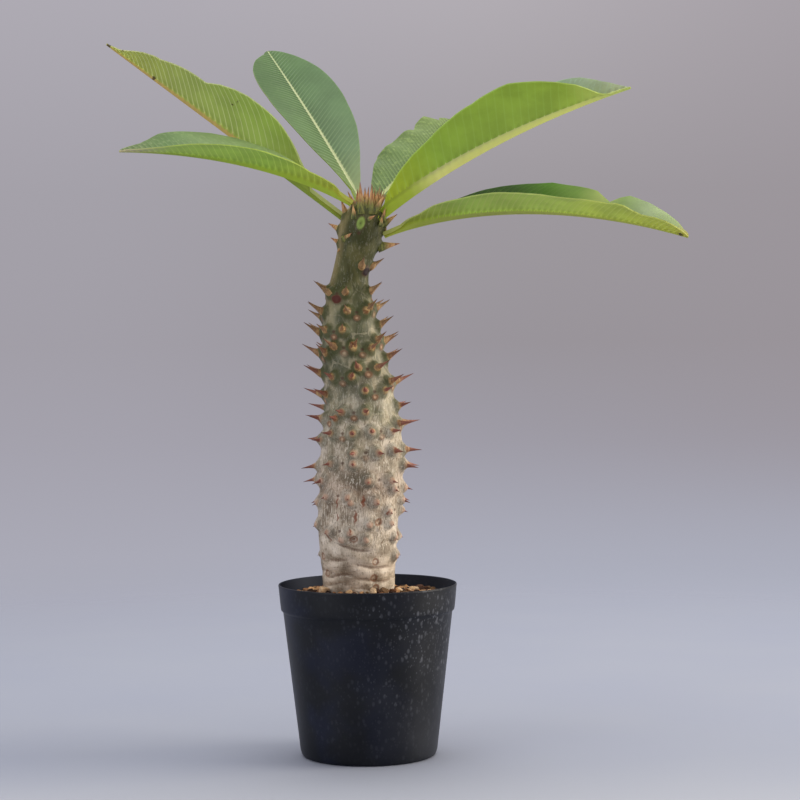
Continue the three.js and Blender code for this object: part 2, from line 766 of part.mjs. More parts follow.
function soilSolid(hole) {
  const random = seededRandom(3);
  const inner = (height) => potWallRadius(height) - POT.wall - CONTACT_GAP;
  const floor = POT.footHeight + POT.wall + CONTACT_GAP;
  const neck = POT.height - POT.collarHeight;
  const profile = [
    [0, floor],
    [inner(floor) - 2.2, floor],
    [inner(floor + 2.2), floor + 2.2],
    [inner(neck - 3), neck - 3],
    [inner(neck - 3), SOIL.level - 1],
    [inner(neck - 3) - 1.5, SOIL.level],
    [30, SOIL.level + SOIL.crownRise * 0.6],
    [0, SOIL.level + SOIL.crownRise],
  ];
  const grains = [];
  const edge = inner(neck - 3) - 1;
  for (let k = 0; k < SOIL.grainCount; k++) {
    const size = mix(...SOIL.grainRadius, random());
    const out = Math.sqrt(mix(18 * 18, (edge - size) ** 2, (k + random()) / SOIL.grainCount));
    const azimuth = radians(k * NODES.divergence);
    const grain = new THREE.OctahedronGeometry(size);
    grain.scale(1 + 0.3 * random(), 1 + 0.3 * random(), 0.75 + 0.3 * random());
    grain.rotateZ(random() * Math.PI).rotateX((random() - 0.5) * 1.2);
    const level = SOIL.level + SOIL.crownRise * (1 - out / edge) + size * 0.15;
    grain.translate(out * Math.cos(azimuth), out * Math.sin(azimuth), level);
    grains.push(solidOf(grain));
  }
  return wasm.Manifold.union([solidOf(lathe(profile, SOIL.segments)), ...grains]).subtract(hole);
}

// Assembly

const clearance = solidOf(stemSkin(CONTACT_GAP));
const leafLines = LEAVES.map(leafLine);
const allSpines = [...stemNodes().flatMap(pairAt), ...CROWN_SPINES.map(crownSpine)];
const spines = allSpines.filter((spine) => !fouls(spine, leafLines));
const stem = wasm.Manifold.union([solidOf(stemSkin(0)), ...spines.map((s) => solidOf(spineOnWart(s)))]);

const plant = new THREE.Group();
const pieces = [
  ["pot", potSolid(), MATERIALS.pot],
  ["soil", soilSolid(clearance), MATERIALS.soil],
  ["stem", stem, MATERIALS.stem],
  ...LEAVES.map((leaf) => [
    leaf.name,
    solidOf(leafGeometry(leaf)).subtract(clearance),
    MATERIALS.leaf,
  ]),
];
for (const [name, solid, material] of pieces) {
  const mesh = new THREE.Mesh(geometryOf(solid), material);
  mesh.name = name;
  plant.add(mesh);
}

export default plant;
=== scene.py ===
# %% [markdown]
# A young Pachypodium baronii stands in a black nursery pot: a fat spiny stem with six long leaves at
# its tip. Its solids are loaded first, as a fixed frame in metres, and every piece below stands exactly
# where they are. A plant like this could be sculpted by hand. Formulas are used here, because they keep
# the fine pieces in step with the solids, and a single number can be changed and tried again.

# %% Load the frame
import math

import bmesh
import bpy
import numpy as np
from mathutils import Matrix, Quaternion, Vector


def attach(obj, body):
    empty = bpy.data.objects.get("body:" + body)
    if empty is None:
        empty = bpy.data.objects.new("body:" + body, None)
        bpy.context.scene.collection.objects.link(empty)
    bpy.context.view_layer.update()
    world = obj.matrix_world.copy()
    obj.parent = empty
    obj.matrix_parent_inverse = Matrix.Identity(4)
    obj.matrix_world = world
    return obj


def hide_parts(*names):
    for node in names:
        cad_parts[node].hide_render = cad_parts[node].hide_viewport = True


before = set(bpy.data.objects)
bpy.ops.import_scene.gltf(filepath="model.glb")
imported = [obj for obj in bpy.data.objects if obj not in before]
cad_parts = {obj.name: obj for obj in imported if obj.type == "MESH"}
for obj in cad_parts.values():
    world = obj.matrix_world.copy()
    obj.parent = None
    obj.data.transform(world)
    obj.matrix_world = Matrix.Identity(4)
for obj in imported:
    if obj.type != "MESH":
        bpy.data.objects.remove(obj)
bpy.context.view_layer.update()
print("solids:", sorted(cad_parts))

# %% [markdown]
# The camera comes next, so that each piece can be judged as soon as it is made. It stands a little
# over a metre in front of the pot, a bit above the middle of the plant, with a long lens, as for a
# portrait of a plant. It leans by half a degree, as a hand-held camera does.

# %% Camera
EYE = Vector((0.014, -1.250, 0.242))
TARGET = Vector((0.020, 0.0, 0.2086))
LENS = 95.83
LEAN_DEGREES = -0.5

camera_data = bpy.data.cameras.new("camera")
camera_data.lens = LENS
camera = bpy.data.objects.new("camera", camera_data)
bpy.context.scene.collection.objects.link(camera)
lean = Quaternion((0, 0, 1), math.radians(LEAN_DEGREES))
camera.location = EYE
camera.rotation_euler = ((TARGET - EYE).to_track_quat("-Z", "Y") @ lean).to_euler()
bpy.context.scene.camera = camera
bpy.context.scene.view_settings.view_transform = "Standard"
print("camera looks from", EYE, "at", TARGET)

# %% [markdown]
# Finishes are written as sums on sockets. A Wire is a socket that can be added, multiplied and so
# on, and each sum adds its Math node. A Paint is one node tree, and its node method adds any other
# node: the settings go in first, then the values or links of the sockets. Colours are given as the
# numbers of a paint chart, 0 to 255, and turned into the linear light that Blender works in.


# %% Sockets that can stand in sums
class Wire:
    """A socket that can stand in sums."""

    def __init__(self, paint, socket):
        self.paint = paint
        self.socket = socket

    def sum(self, operation, first, second):
        return self.paint.node("Math", {"operation": operation}, {0: first, 1: second})

    def __add__(self, other):
        return self.sum("ADD", self, other)

    def __sub__(self, other):
        return self.sum("SUBTRACT", self, other)

    def __rsub__(self, other):
        return self.sum("SUBTRACT", other, self)

    def __mul__(self, other):
        return self.sum("MULTIPLY", self, other)

    __radd__ = __add__
    __rmul__ = __mul__


# %% A node tree that is written as code
class Paint:
    """The node tree of a material or of the world."""

    def __init__(self, owner):
        owner.use_nodes = True
        self.owner = owner
        self.tree = owner.node_tree
        self.tree.nodes.clear()

    def node(self, kind, settings=None, sockets=None, output=0):
        """Adds a node, sets it, fills its sockets, and gives one of its outputs back."""
        made = self.tree.nodes.new("ShaderNode" + kind)
        for key, value in (settings or {}).items():
            if key == "stops":
                fill_ramp(made.color_ramp, value)
            else:
                setattr(made, key, value)
        for key, value in (sockets or {}).items():
            if isinstance(value, Wire):
                self.tree.links.new(value.socket, made.inputs[key])
            else:
                made.inputs[key].default_value = value
        return Wire(self, made.outputs[output]) if len(made.outputs) else None

    def field(self, name):
        """A number that the mesh carries at each of its points."""
        return self.node("Attribute", {"attribute_name": name}, output=2)

    def place(self, stretch=(1, 1, 1)):
        """The place on the piece in metres, stretched along each axis."""
        place = self.node("TexCoord", output=3)
        return self.node("VectorMath", {"operation": "MULTIPLY"}, {0: place, 1: stretch})

    def part(self, place, axis):
        """The x, y or z of a place, for axis 0, 1 or 2."""
        return self.node("SeparateXYZ", None, {0: place}, output=axis)

    def length(self, place):
        return self.node("VectorMath", {"operation": "LENGTH"}, {0: place}, output=1)

    def noise(self, place, scale, detail=2.0):
        return self.node("TexNoise", None, {"Vector": place, "Scale": scale, "Detail": detail})

    def step(self, value, low, high):
        """0 below low, 1 above high, and smooth between them."""
        sockets = {"Value": value, "From Min": low, "From Max": high}
        return self.node("MapRange", {"interpolation_type": "SMOOTHSTEP"}, sockets)

    def ramp(self, value, stops):
        """The colour at a value, between stops that are rows of a position, red, green and blue."""
        return self.node("ValToRGB", {"stops": stops}, {0: value})

    def tint(self, share, first, second, blend="MIX"):
        """The first colour with a share of the second. A colour is a wire, or three numbers of the chart."""
        first, second = [shade if isinstance(shade, Wire) else colour(*shade) for shade in (first, second)]
        settings = {"data_type": "RGBA", "blend_type": blend}
        return self.node("Mix", settings, {0: share, 6: first, 7: second}, output=2)

    def coats(self, base, coats):
        """Lays coats over a base, one after the other. Each coat is a share and a colour."""
        for share, shade in coats:
            base = self.tint(share, base, shade)
        return base

    def bump(self, height, strength, distance):
        return self.node("Bump", None, {"Height": height, "Strength": strength, "Distance": distance})

    def surface(self, shader):
        self.node("OutputMaterial", None, {"Surface": shader})
        return self.owner


def fill_ramp(ramp, stops):
    """Stops are rows of a position, red, green and blue."""
    while len(ramp.elements) < len(stops):
        ramp.elements.new(1.0)
    for element, (position, *shade) in zip(ramp.elements, stops):
        element.position = position
        element.color = colour(*shade)


def colour(red, green, blue):
    """A paint chart's colour as linear light, with full alpha."""
    shares = [value / 255 for value in (red, green, blue)]
    linear = [s / 12.92 if s <= 0.04045 else ((s + 0.055) / 1.055) ** 2.4 for s in shares]
    return (*linear, 1.0)


print("middle grey is", colour(128, 128, 128)[0])

# %% [markdown]
# The plant stands on pale paper that runs up behind it without a corner. The paper could be a bent
# sheet, but a sheet hides the plant from behind, so here it is a flat disc that fades out with
# distance into a sky of the same soft grey. The sky's grey is a little darker just above the
# horizon, as painted shade like that of paper in its bend, and darker on the right, as a painted
# shadow. The paper is painted paler in front of the pot, as painted light.

# %% Paper floor and sky
FLOOR_RADIUS = 1.5
FADE = (0.30, 1.25)


def sky(paint):
    stops = [
        (0.420, 188, 192, 208), (0.447, 172, 174, 188), (0.478, 158, 155, 165), (0.500, 153, 148, 154),
        (0.535, 158, 153, 158), (0.580, 178, 173, 179), (0.900, 196, 194, 200),
    ]
    aim = paint.node("TexCoord", output=0)
    sideways, rise = paint.part(aim, 0), paint.part(aim, 2)
    # Painted shadow: the right of the sky is darker above the horizon. The left is bluer.
    cool = 1 - paint.step(sideways, -0.16, 0.08)
    shaded_right = paint.step(sideways, 0.02, 0.22) * paint.step(rise, -0.09, -0.02)
    coats = [(cool * 0.5, (170, 168, 179)), (shaded_right * 0.5, (154, 147, 153))]
    shade = paint.coats(paint.ramp(rise * 0.5 + 0.5, stops), coats)
    light = paint.node("Background", None, {"Color": shade, "Strength": 1.0})
    paint.node("OutputWorld", None, {"Surface": light})


def paper(paint):
    place = paint.place()
    fibre = paint.noise(place, 900, 3)
    # Painted light: the paper is painted paler in front of the pot, towards the camera.
    near = 1 - paint.step(paint.part(place, 1), -0.20, 0.0)
    shade = paint.tint(paint.noise(place, 7, 2), (150, 156, 173), (157, 162, 174))
    shade = paint.coats(shade, [(near * 0.9, (174, 178, 186)), (fibre * 0.06, (120, 116, 112))])
    sheet = {"Base Color": shade, "Roughness": 0.75, "Normal": paint.bump(fibre, 0.1, 0.0003)}
    solid = paint.node("BsdfPrincipled", None, sheet)
    clear = paint.node("BsdfTransparent")
    fade = paint.step(paint.length(place), *FADE)
    return paint.surface(paint.node("MixShader", None, {0: fade, 1: solid, 2: clear}))


def new_material(name, recipe):
    material = bpy.data.materials.new(name)
    return recipe(Paint(material))


world = bpy.data.worlds.new("sky")
bpy.context.scene.world = world
sky(Paint(world))
floor_mesh = bpy.data.meshes.new("paper_floor")
corner = FLOOR_RADIUS
corners = [(-corner, -corner, 0), (corner, -corner, 0), (corner, corner, 0), (-corner, corner, 0)]
floor_mesh.from_pydata(corners, [], [(0, 1, 2, 3)])
floor_mesh.materials.append(new_material("paper", paper))
floor = bpy.data.objects.new("paper_floor", floor_mesh)
bpy.context.scene.collection.objects.link(floor)
print("paper floor of", 2 * FLOOR_RADIUS, "m")

# %% [markdown]
# Large soft lamps give a studio's nearly shadowless light. One hangs overhead and a little behind,
# so that the leaves glow from underneath. A warmer one stands on the right and lights that side of
# the stem. A weak, cool one at the left front keeps the other side from going black.

# %% Soft lamps
LAMPS = [
    # name, place, aimed at, size, watts, colour
    ("overhead", (0.05, 0.30, 1.45), (0.0, 0.0, 0.25), 1.7, 19.0, (1.0, 0.99, 0.97)),
    ("right", (2.00, -0.05, 0.62), (0.0, 0.0, 0.24), 1.2, 44.0, (1.0, 0.92, 0.80)),
    ("left_front", (-1.3, -1.0, 0.40), (0.0, 0.0, 0.28), 1.0, 7.0, (0.95, 0.97, 1.0)),
]

for name, place, aim, size, watts, shade in LAMPS:
    lamp_data = bpy.data.lights.new(name, "AREA")
    lamp_data.size = size
    lamp_data.energy = watts
    lamp_data.color = shade
    lamp = bpy.data.objects.new(name, lamp_data)
    lamp.location = place
    lamp.rotation_euler = (Vector(aim) - Vector(place)).to_track_quat("-Z", "Y").to_euler()
    bpy.context.scene.collection.objects.link(lamp)
print("lamps:", [lamp[0] for lamp in LAMPS])

# %% [markdown]
# A few helpers serve every piece. Shapes are worked out in millimetres, as the solids were, and
# turned into metres when the mesh is made. A smooth curve runs through rows of numbers, as a bent
# spline runs through pins. Each mesh carries fields: numbers at its points, which its finish reads.

# %% Numbers and directions
MM = 0.001
UP = np.array([0.0, 0.0, 1.0])
GOLDEN_ANGLE = 137.508


def mix(a, b, t):
    return a + (b - a) * t


def smooth(low, high, value):
    t = np.clip((value - low) / (high - low), 0, 1)
    return t * t * (3 - 2 * t)


def direction(azimuth, rise):
    """A unit vector, from angles in radians."""
    level = np.cos(rise)
    return np.stack([level * np.cos(azimuth), level * np.sin(azimuth), np.sin(rise) + 0 * azimuth], axis=-1)


def unit(vectors):
    return vectors / np.linalg.norm(vectors, axis=-1, keepdims=True)


def seeded_random(seed):
    """Numbers from 0 to 1, the same ones on every run."""
    state = seed
    while True:
        state = (state * 1664525 + 1013904223) % 4294967296
        yield state / 4294967296


def curve(rows, at):
    """Smooth values through rows that start with a position, at the positions asked for."""
    rows = np.asarray(rows, float)
    at = np.asarray(at, float)
    last = len(rows) - 1
    k = np.clip(np.searchsorted(rows[:, 0], at, side="left") - 1, 0, last - 1)
    low, high = rows[k], rows[k + 1]
    before, after = rows[np.maximum(k - 1, 0)], rows[np.minimum(k + 2, last)]
    span = (high - low)[..., :1]
    t = np.clip((at[..., None] - low[..., :1]) / span, 0, 1)
    slope_low = (high - before) / (high - before)[..., :1] * span
    slope_high = (after - low) / (after - low)[..., :1] * span
    blend_low = (2 * t**3 - 3 * t**2 + 1) * low + (t**3 - 2 * t**2 + t) * slope_low
    blend_high = (3 * t**2 - 2 * t**3) * high + (t**3 - t**2) * slope_high
    return (blend_low + blend_high)[..., 1:]


print("a quarter of the way along a smooth step:", smooth(0, 1, 0.25))


# %% Meshes from grids of points
def grid_faces(rows, columns, closed):
    """The quads of a grid. A closed grid joins its last column to its first."""
    row, column = np.mgrid[0 : rows - 1, 0 : columns if closed else columns - 1].reshape(2, -1)
    after = (column + 1) % columns
    below, above = row * columns, (row + 1) * columns
    return np.stack([below + column, below + after, above + after, above + column], axis=1).tolist()


def stack_faces(rings, sides, first_ring=0):
    """The faces of a stack of rings, the first of which is first_ring, each end closed by one face."""
    start = first_ring * sides
    quads = [[corner + start for corner in quad] for quad in grid_faces(rings, sides, True)]
    foot = list(range(start + sides - 1, start - 1, -1))
    top = list(range(start + (rings - 1) * sides, start + rings * sides))
    return [foot, *quads, top]


def new_piece(name, points, faces, finishes, fields=None, face_finish=None):
    """A smooth mesh from points in millimetres."""
    mesh = bpy.data.meshes.new(name)
    mesh.from_pydata((np.asarray(points).reshape(-1, 3) * MM).tolist(), [], faces)
    mesh.shade_smooth()
    for key, values in (fields or {}).items():
        layer = mesh.attributes.new(key, "FLOAT", "POINT")
        layer.data.foreach_set("value", np.asarray(values, np.float32).ravel())
    for finish in finishes:
        mesh.materials.append(finish)
    if face_finish is not None:
        mesh.polygons.foreach_set("material_index", np.asarray(face_finish, np.int32))
    piece = bpy.data.objects.new(name, mesh)
    bpy.context.scene.collection.objects.link(piece)
    print(name, "has", len(mesh.polygons), "faces")
    return piece


def settle(piece, slot, *nodes):
    """Lets a piece ride on the plant's body, and stand for its solids."""
    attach(piece, "root")
    if nodes:
        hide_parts(*nodes)


# %% [markdown]
# The pot is thin black polypropylene from a mould: a plain cone with a straight collar, a rolled
# rim, and a raised floor with drain holes. A lathe profile makes it in one go. The corners of the
# profile get several points each, so that they catch the light as moulded corners do, and the drain
# holes are cut with a Boolean.

# %% Pot profile
POT = {
    "rim_radius": 52.5,
    "height": 101.0,
    "wall": 1.3,
    "collar_height": 15.0,
    "collar_radius": 51.1,
    "neck_radius": 49.9,
    "base_radius": 39.9,
    "corner_radius": 2.6,
    "foot_inner": 31.5,
    "foot_height": 1.8,
    "hub_radius": 9.0,
}
POT_SEGMENTS = 160
NECK = POT["height"] - POT["collar_height"]


def pot_wall(height):
    return mix(POT["base_radius"], POT["neck_radius"], height / NECK)


def pot_corner():
    """The rounded corner between the pot's underside and its wall."""
    size = POT["corner_radius"]
    turns = np.radians(np.linspace(0, 80, 6))
    return [[pot_wall(0) - size + size * math.sin(a), size - size * math.cos(a)] for a in turns]


def pot_profile():
    """Radius and height, from the middle of the underside, out, up, over the rim and back inside."""
    rim, height, wall, collar = POT["rim_radius"], POT["height"], POT["wall"], POT["collar_radius"]
    hub, foot = POT["hub_radius"], POT["foot_height"]
    inner_floor = foot + wall
    outside = [[hub, 0], [hub + 1.2, foot], [POT["foot_inner"] - 1.2, foot], [POT["foot_inner"], 0]]
    outside += pot_corner()
    outside += [[pot_wall(h), h] for h in np.linspace(4, NECK - 1.6, 9)]
    outside += [[pot_wall(NECK) + 0.2, NECK - 0.8], [collar - 0.2, NECK - 0.1], [collar, NECK + 0.7]]
    outside += [[mix(collar, rim, t), mix(NECK, height, t)] for t in (0.3, 0.6, 0.85)]
    outside += [[rim - 0.1, height - 1.2], [rim, height - 0.6], [rim - 0.2, height - 0.15]]
    inside = [[rim - 0.6, height], [rim - 1.1, height - 0.2], [rim - wall, height - 0.7]]
    inside += [[collar - wall, NECK + 1.2]]
    inside += [[pot_wall(h) - wall, h] for h in (NECK - 2, 60, 30, inner_floor + 2)]
    edge = pot_wall(inner_floor) - wall
    inside += [[edge - 0.7, inner_floor + 0.6], [edge - 2, inner_floor]]
    return outside + inside + [[hub, inner_floor]]


print("pot profile has", len(pot_profile()), "points")

# %% [markdown]
# Black plastic is hardly black in a bright room: it mirrors the paper softly, and most at its edges. Dust
# and dried drops of hard water lie on it. They are gathered on the upper right, where the right lamp falls,
# so they also paint that side paler, as painted light. Two sizes of Voronoi cells make the drops: each cell
# holds one drop at its middle, and a random number per cell says which cells stay dry. The inside of the
# wall is a dull matt copy of the plastic, as painted shade.


# %% Pot finish
def drops(paint, place, scale, size, share):
    """Small round marks, one in each of a share of the cells."""
    sockets = {"Vector": place, "Scale": scale, "Randomness": 1.0}
    cell = paint.node("TexVoronoi", None, sockets)
    chance = paint.node("TexVoronoi", None, sockets, output=1)
    picked = paint.node("SeparateColor", None, {0: chance})
    return (1 - paint.step(cell, size * 0.35, size)) * (1 - paint.step(picked, share - 0.05, share))


def inner_side(paint, height):
    """1 on the inside of the pot's wall, which hardly any lamp reaches and which wears a matt copy of the
    plastic as painted shade, and 0 on the outside.
    """
    taper = (POT["neck_radius"] - POT["base_radius"]) / NECK
    collar = paint.step(height, 0.0852, 0.0866) * 0.0012
    outline = height * taper + POT["base_radius"] * MM + collar
    return 1 - paint.step(paint.length(paint.place((1, 1, 0))) - outline, -0.0012, -0.0006)


def black_plastic(paint):
    place = paint.place()
    height = paint.part(place, 2)
    grain = paint.noise(place, 1500, 2)
    cloud = paint.noise(place, 38, 4)
    lit_right_side = paint.step(paint.part(place, 0) + cloud * 0.02, -0.015, 0.055)
    upness = paint.step(height, 0.015, 0.085)
    # Real dust and drops, massed on the upper right where the right lamp falls, so they are partly painted
    # light.
    dusty = paint.step(cloud, 0.35, 0.75) * (0.3 + 0.7 * lit_right_side)
    where = (0.35 + 0.65 * paint.step(cloud, 0.36, 0.58)) * (0.10 + lit_right_side * upness)
    soft_drops = drops(paint, paint.place((1, 1, 0.62)), 330, 0.40, 0.75) * where
    fine_drops = drops(paint, paint.place((1, 1, 0.70)), 620, 0.36, 0.70) * where
    chalk = soft_drops * 0.32 + fine_drops * 0.28 + dusty * 0.05
    navy = paint.step(paint.noise(place, 30, 2), 0.42, 0.62) * (1 - lit_right_side)
    shade = paint.tint(navy, (6, 10, 18), (8, 16, 36))
    sockets = {
        "Base Color": paint.tint(chalk, shade, (140, 144, 154)),
        "Roughness": 0.42 + chalk * 0.35 + grain * 0.05,
        "Normal": paint.bump(grain * 0.4 + soft_drops * 0.3, 0.12, 0.0002),
        "Specular IOR Level": 0.26,
    }
    plastic = paint.node("BsdfPrincipled", None, sockets)
    # Painted shade: a dull matt copy of the plastic stands on the inside of the wall.
    painted_shade_matt = paint.node("BsdfDiffuse", None, {"Color": colour(50, 54, 64)})
    inside = inner_side(paint, height) * 0.9
    return paint.surface(paint.node("MixShader", None, {0: inside, 1: plastic, 2: painted_shade_matt}))


pot_finish = new_material("black_plastic", black_plastic)
print("pot finish has", len(pot_finish.node_tree.nodes), "nodes")

# %% Pot
DRAIN_COUNT = 8
DRAIN_RADIUS = 3.0
DRAIN_CIRCLE = 20.5
PEG_SIDES = 24
PEG_ENDS = (-3, 8)


def lathe_points(profile, segments):
    turns = np.arange(segments) * 2 * math.pi / segments
    radius, height = np.array(profile).T
    rings = [radius[:, None] * np.cos(turns), radius[:, None] * np.sin(turns), height[:, None] + 0 * turns]
    return np.stack(rings, axis=-1)


def drain_cutter():
    """Round pegs where the drain holes will be, as one mesh."""
    peg = lathe_points([[DRAIN_RADIUS, end] for end in PEG_ENDS], PEG_SIDES)
    points, faces = [], []
    for k in range(DRAIN_COUNT):
        turn = (k + 0.5) * 2 * math.pi / DRAIN_COUNT
        points.append(peg + [DRAIN_CIRCLE * math.cos(turn), DRAIN_CIRCLE * math.sin(turn), 0])
        faces += stack_faces(2, PEG_SIDES, 2 * k)
    return new_piece("drain_pegs", np.concatenate(points), faces, [])


def cut(piece, cutter):
    """Takes the cutter out of the piece, and removes the cutter."""
    boolean = piece.modifiers.new("cut", "BOOLEAN")
    boolean.object = cutter
    boolean.operation = "DIFFERENCE"
    graph = bpy.context.evaluated_depsgraph_get()
    whole = piece.data
    piece.data = bpy.data.meshes.new_from_object(piece.evaluated_get(graph))
    piece.modifiers.clear()
    bpy.data.meshes.remove(whole)
    bpy.data.objects.remove(cutter)


profile = pot_profile()
pot_faces = stack_faces(len(profile), POT_SEGMENTS)
pot = new_piece("pot_body", lathe_points(profile, POT_SEGMENTS), pot_faces, [pot_finish])
cut(pot, drain_cutter())
settle(pot, "pot", "pot")
print("pot is", [round(1000 * side, 1) for side in pot.dimensions], "mm")

# %% [markdown]
# The stem is a fat column that swells below its middle, narrows to a neck and leans a little. Its rows
# of height, x, y and radius are those of the solid. At the foot the bark is pressed into short creases,
# each with its own place round the stem, and the back has the same creases turned half way round.

# %% Stem outline
STEM = [
    # height, x, y, radius
    (60, -4.4, 0.4, 8.5), (72, -4.7, 0.4, 15.5), (86, -5, 0.3, 19.4), (99, -5, 0.2, 20.6),
    (115, -5.2, 0, 21.7), (138, -5, -0.3, 23.2), (156, -3.4, -0.3, 23.7), (172, -2.6, 0, 24.1),
    (187, -2.6, 0.4, 23), (203, -3.2, 0.8, 20.4), (221, -5, 1, 19.3), (235, -7.6, 0.9, 17.8),
    (248, -8.8, 0.6, 16.2), (262, -9.6, 0.2, 14), (274, -9.6, -0.2, 11.8), (285, -7.9, -0.4, 10.5),
    (297, -4.1, -0.3, 11.6), (308, -1.8, 0, 12.6), (317, 0, 0.3, 12.4), (323, 1, 0.5, 8.4),
]
STEM_BOTTOM = 57.0
STEM_SHOULDER = 323.0
STEM_TIP = 326.0
CREASES = [
    # height, degrees right of the front, half its span in degrees, rise per turn in millimetres, depth
    (123.6, -8, 34, -27, 1.3), (126.5, 52, 24, 10, 0.7), (116.6, -36, 26, 20, 1.2),
    (118.6, 26, 30, -12, 0.6), (112.3, 32, 44, -14, 1.2), (109, -62, 30, 8, 0.8),
    (107.3, -34, 30, 8, 1.1), (104.4, 30, 46, -5, 1.2), (101.8, -40, 30, 6, 0.9), (98.6, 34, 50, -10, 1),
    (96.5, -24, 40, 4, 0.8),
]
CREASE_HALF_WIDTHS = (1.1, 2.8)


def turn_between(a, b):
    """The turn from b to a, between minus and plus half a turn."""
    return np.arctan2(np.sin(a - b), np.cos(a - b))


def crease_depth(height, azimuth, half_width):
    total = 0.0
    for level, degrees, span, slope, depth in CREASES:
        for half_turn in (0, math.pi):
            turn = turn_between(azimuth, math.radians(degrees - 90) + half_turn)
            ends = 1 - smooth(0.35, 1.3, np.abs(turn) / math.radians(span))
            wander = 0.7 * np.sin(5 * turn + level)
            off = height - level - slope * turn / (2 * math.pi) - wander
            total = total + depth * ends * np.exp(-((off / half_width) ** 2))
    return total


def crease_press(height, azimuth):
    """How far the creases press the bark in: a narrow slit in the middle of a wide hollow."""
    slit, hollow = [crease_depth(height, azimuth, half_width) for half_width in CREASE_HALF_WIDTHS]
    return 0.5 * slit + 0.9 * hollow


def stem_point(height, azimuth):
    x, y, radius = np.moveaxis(curve(STEM, np.minimum(height, STEM_SHOULDER)), -1, 0)
    over = np.clip((height - STEM_SHOULDER) / (STEM_TIP - STEM_SHOULDER), 0, 1)
    oval = 1 + 0.02 * np.sin(2 * azimuth + 0.8) + 0.012 * np.sin(3 * azimuth + height / 30)
    reach = (radius * oval - crease_press(height, azimuth)) * np.sqrt(1 - over**2)
    return np.stack([x + reach * np.cos(azimuth), y + reach * np.sin(azimuth), height + 0 * reach], axis=-1)


print("the stem is", round(2 * float(curve(STEM, 172.0)[2]), 1), "mm thick at its widest")

# %% [markdown]
# Leaves grew along a spiral, each a golden angle after the last, and each left a node behind: a pair of
# warts with a spine on each, and between them an oval leaf scar with a small bud scar above it. The spiral
# is computed, then the nearest node is moved to each place where the front and the two edges show one.

# %% Nodes of the stem
FIRST_NODE = 117.0
LAST_NODE = 300.0
NODE_PITCH = 2.5
TURN_WANDER = 14
HEIGHT_WANDER = 2.6
BARE_NECK = (276, 299)
CLEARANCE = 9.5
DARK_SCARS = (287, 271)
FRESH_SCARS = (315,)
SHOWN_NODES = [
    # height, degrees right of the front, vigour
    (315, -4, 0), (287, 55, 0.7), (271, -29, 0.45), (260, 18, 0.45), (249, -32, 0.45), (238.5, 20, 0.45),
    (236, -66, 1), (222, -24, 0.45), (214, 28, 0.45), (202, -10, 0.45), (190, -28, 0.5), (191, 31, 0.5),
    (179, 6, 0.5), (180, 64, 1), (173, -27, 0.5), (163, 26, 0.5), (151, 5, 0.5), (154, -33, 0.5),
    (138, 33, 0.5), (129, -6, 0.5), (129, 82, 0.9), (273, -92, 0.9), (260, -86, 1.1), (248, -94, 1.1),
    (224, -92, 1.2), (212, -74, 1.1), (198, -90, 0.8), (186, -82, 0.6), (171, -98, 1.2), (163, -76, 1.2),
    (150, -86, 0.7), (137, -88, 0.7), (272, 90, 0.9), (262, 70, 0.8), (252, 98, 0.9), (243, 72, 0.9),
    (233, 96, 1), (219, 78, 1.2), (205, 98, 0.7), (195, 82, 1.1), (171, 90, 1.1), (158, 66, 0.6),
    (151, 92, 1.1), (145, 62, 0.8),
]


def distance_round(a, b):
    """The distance between two nodes over the bark."""
    radius = curve(STEM, b["height"])[2]
    return math.hypot(a["height"] - b["height"], radius * turn_between(a["azimuth"], b["azimuth"]))


def spiral_nodes():
    random = seeded_random(7)
    nodes = []
    while FIRST_NODE + len(nodes) * NODE_PITCH < LAST_NODE:
        turn = len(nodes) * GOLDEN_ANGLE + (next(random) - 0.5) * TURN_WANDER
        height = FIRST_NODE + len(nodes) * NODE_PITCH + (next(random) - 0.5) * HEIGHT_WANDER
        nodes.append({"height": height, "azimuth": math.radians(turn), "vigour": 0.8 + 0.4 * next(random)})
    return nodes


def scar_size(node):
    """Scars differ in size. Those of the foot have worn down, and the newest one is large."""
    if node["height"] in FRESH_SCARS + DARK_SCARS:
        return 1.4
    return mix(0.75, 0.85 + 0.30 * node["vigour"], smooth(125, 160, node["height"]))


def stem_nodes():
    spiral = spiral_nodes()
    moved = []
    for height, degrees, vigour in SHOWN_NODES:
        place = {"height": height, "azimuth": math.radians(degrees - 90), "vigour": vigour}
        nearest = min(spiral, key=lambda node: distance_round(node, place))
        spiral.remove(nearest)
        moved.append({**nearest, **place})

    def fits(node):
        on_neck = BARE_NECK[0] < node["height"] < BARE_NECK[1]
        return not on_neck and all(distance_round(node, place) > CLEARANCE for place in moved)

    kept = moved + [node for node in spiral if fits(node)]
    return [{**node, "scar": scar_size(node)} for node in kept]


nodes = stem_nodes()
print(len(nodes), "nodes on the stem")

# %% [markdown]
# A wart is a cone of bark round the foot of a spine. The pairs stand closer together on the young stem,
# and both warts and spines are larger there. On the old stem below, the spines have worn down to stubs.

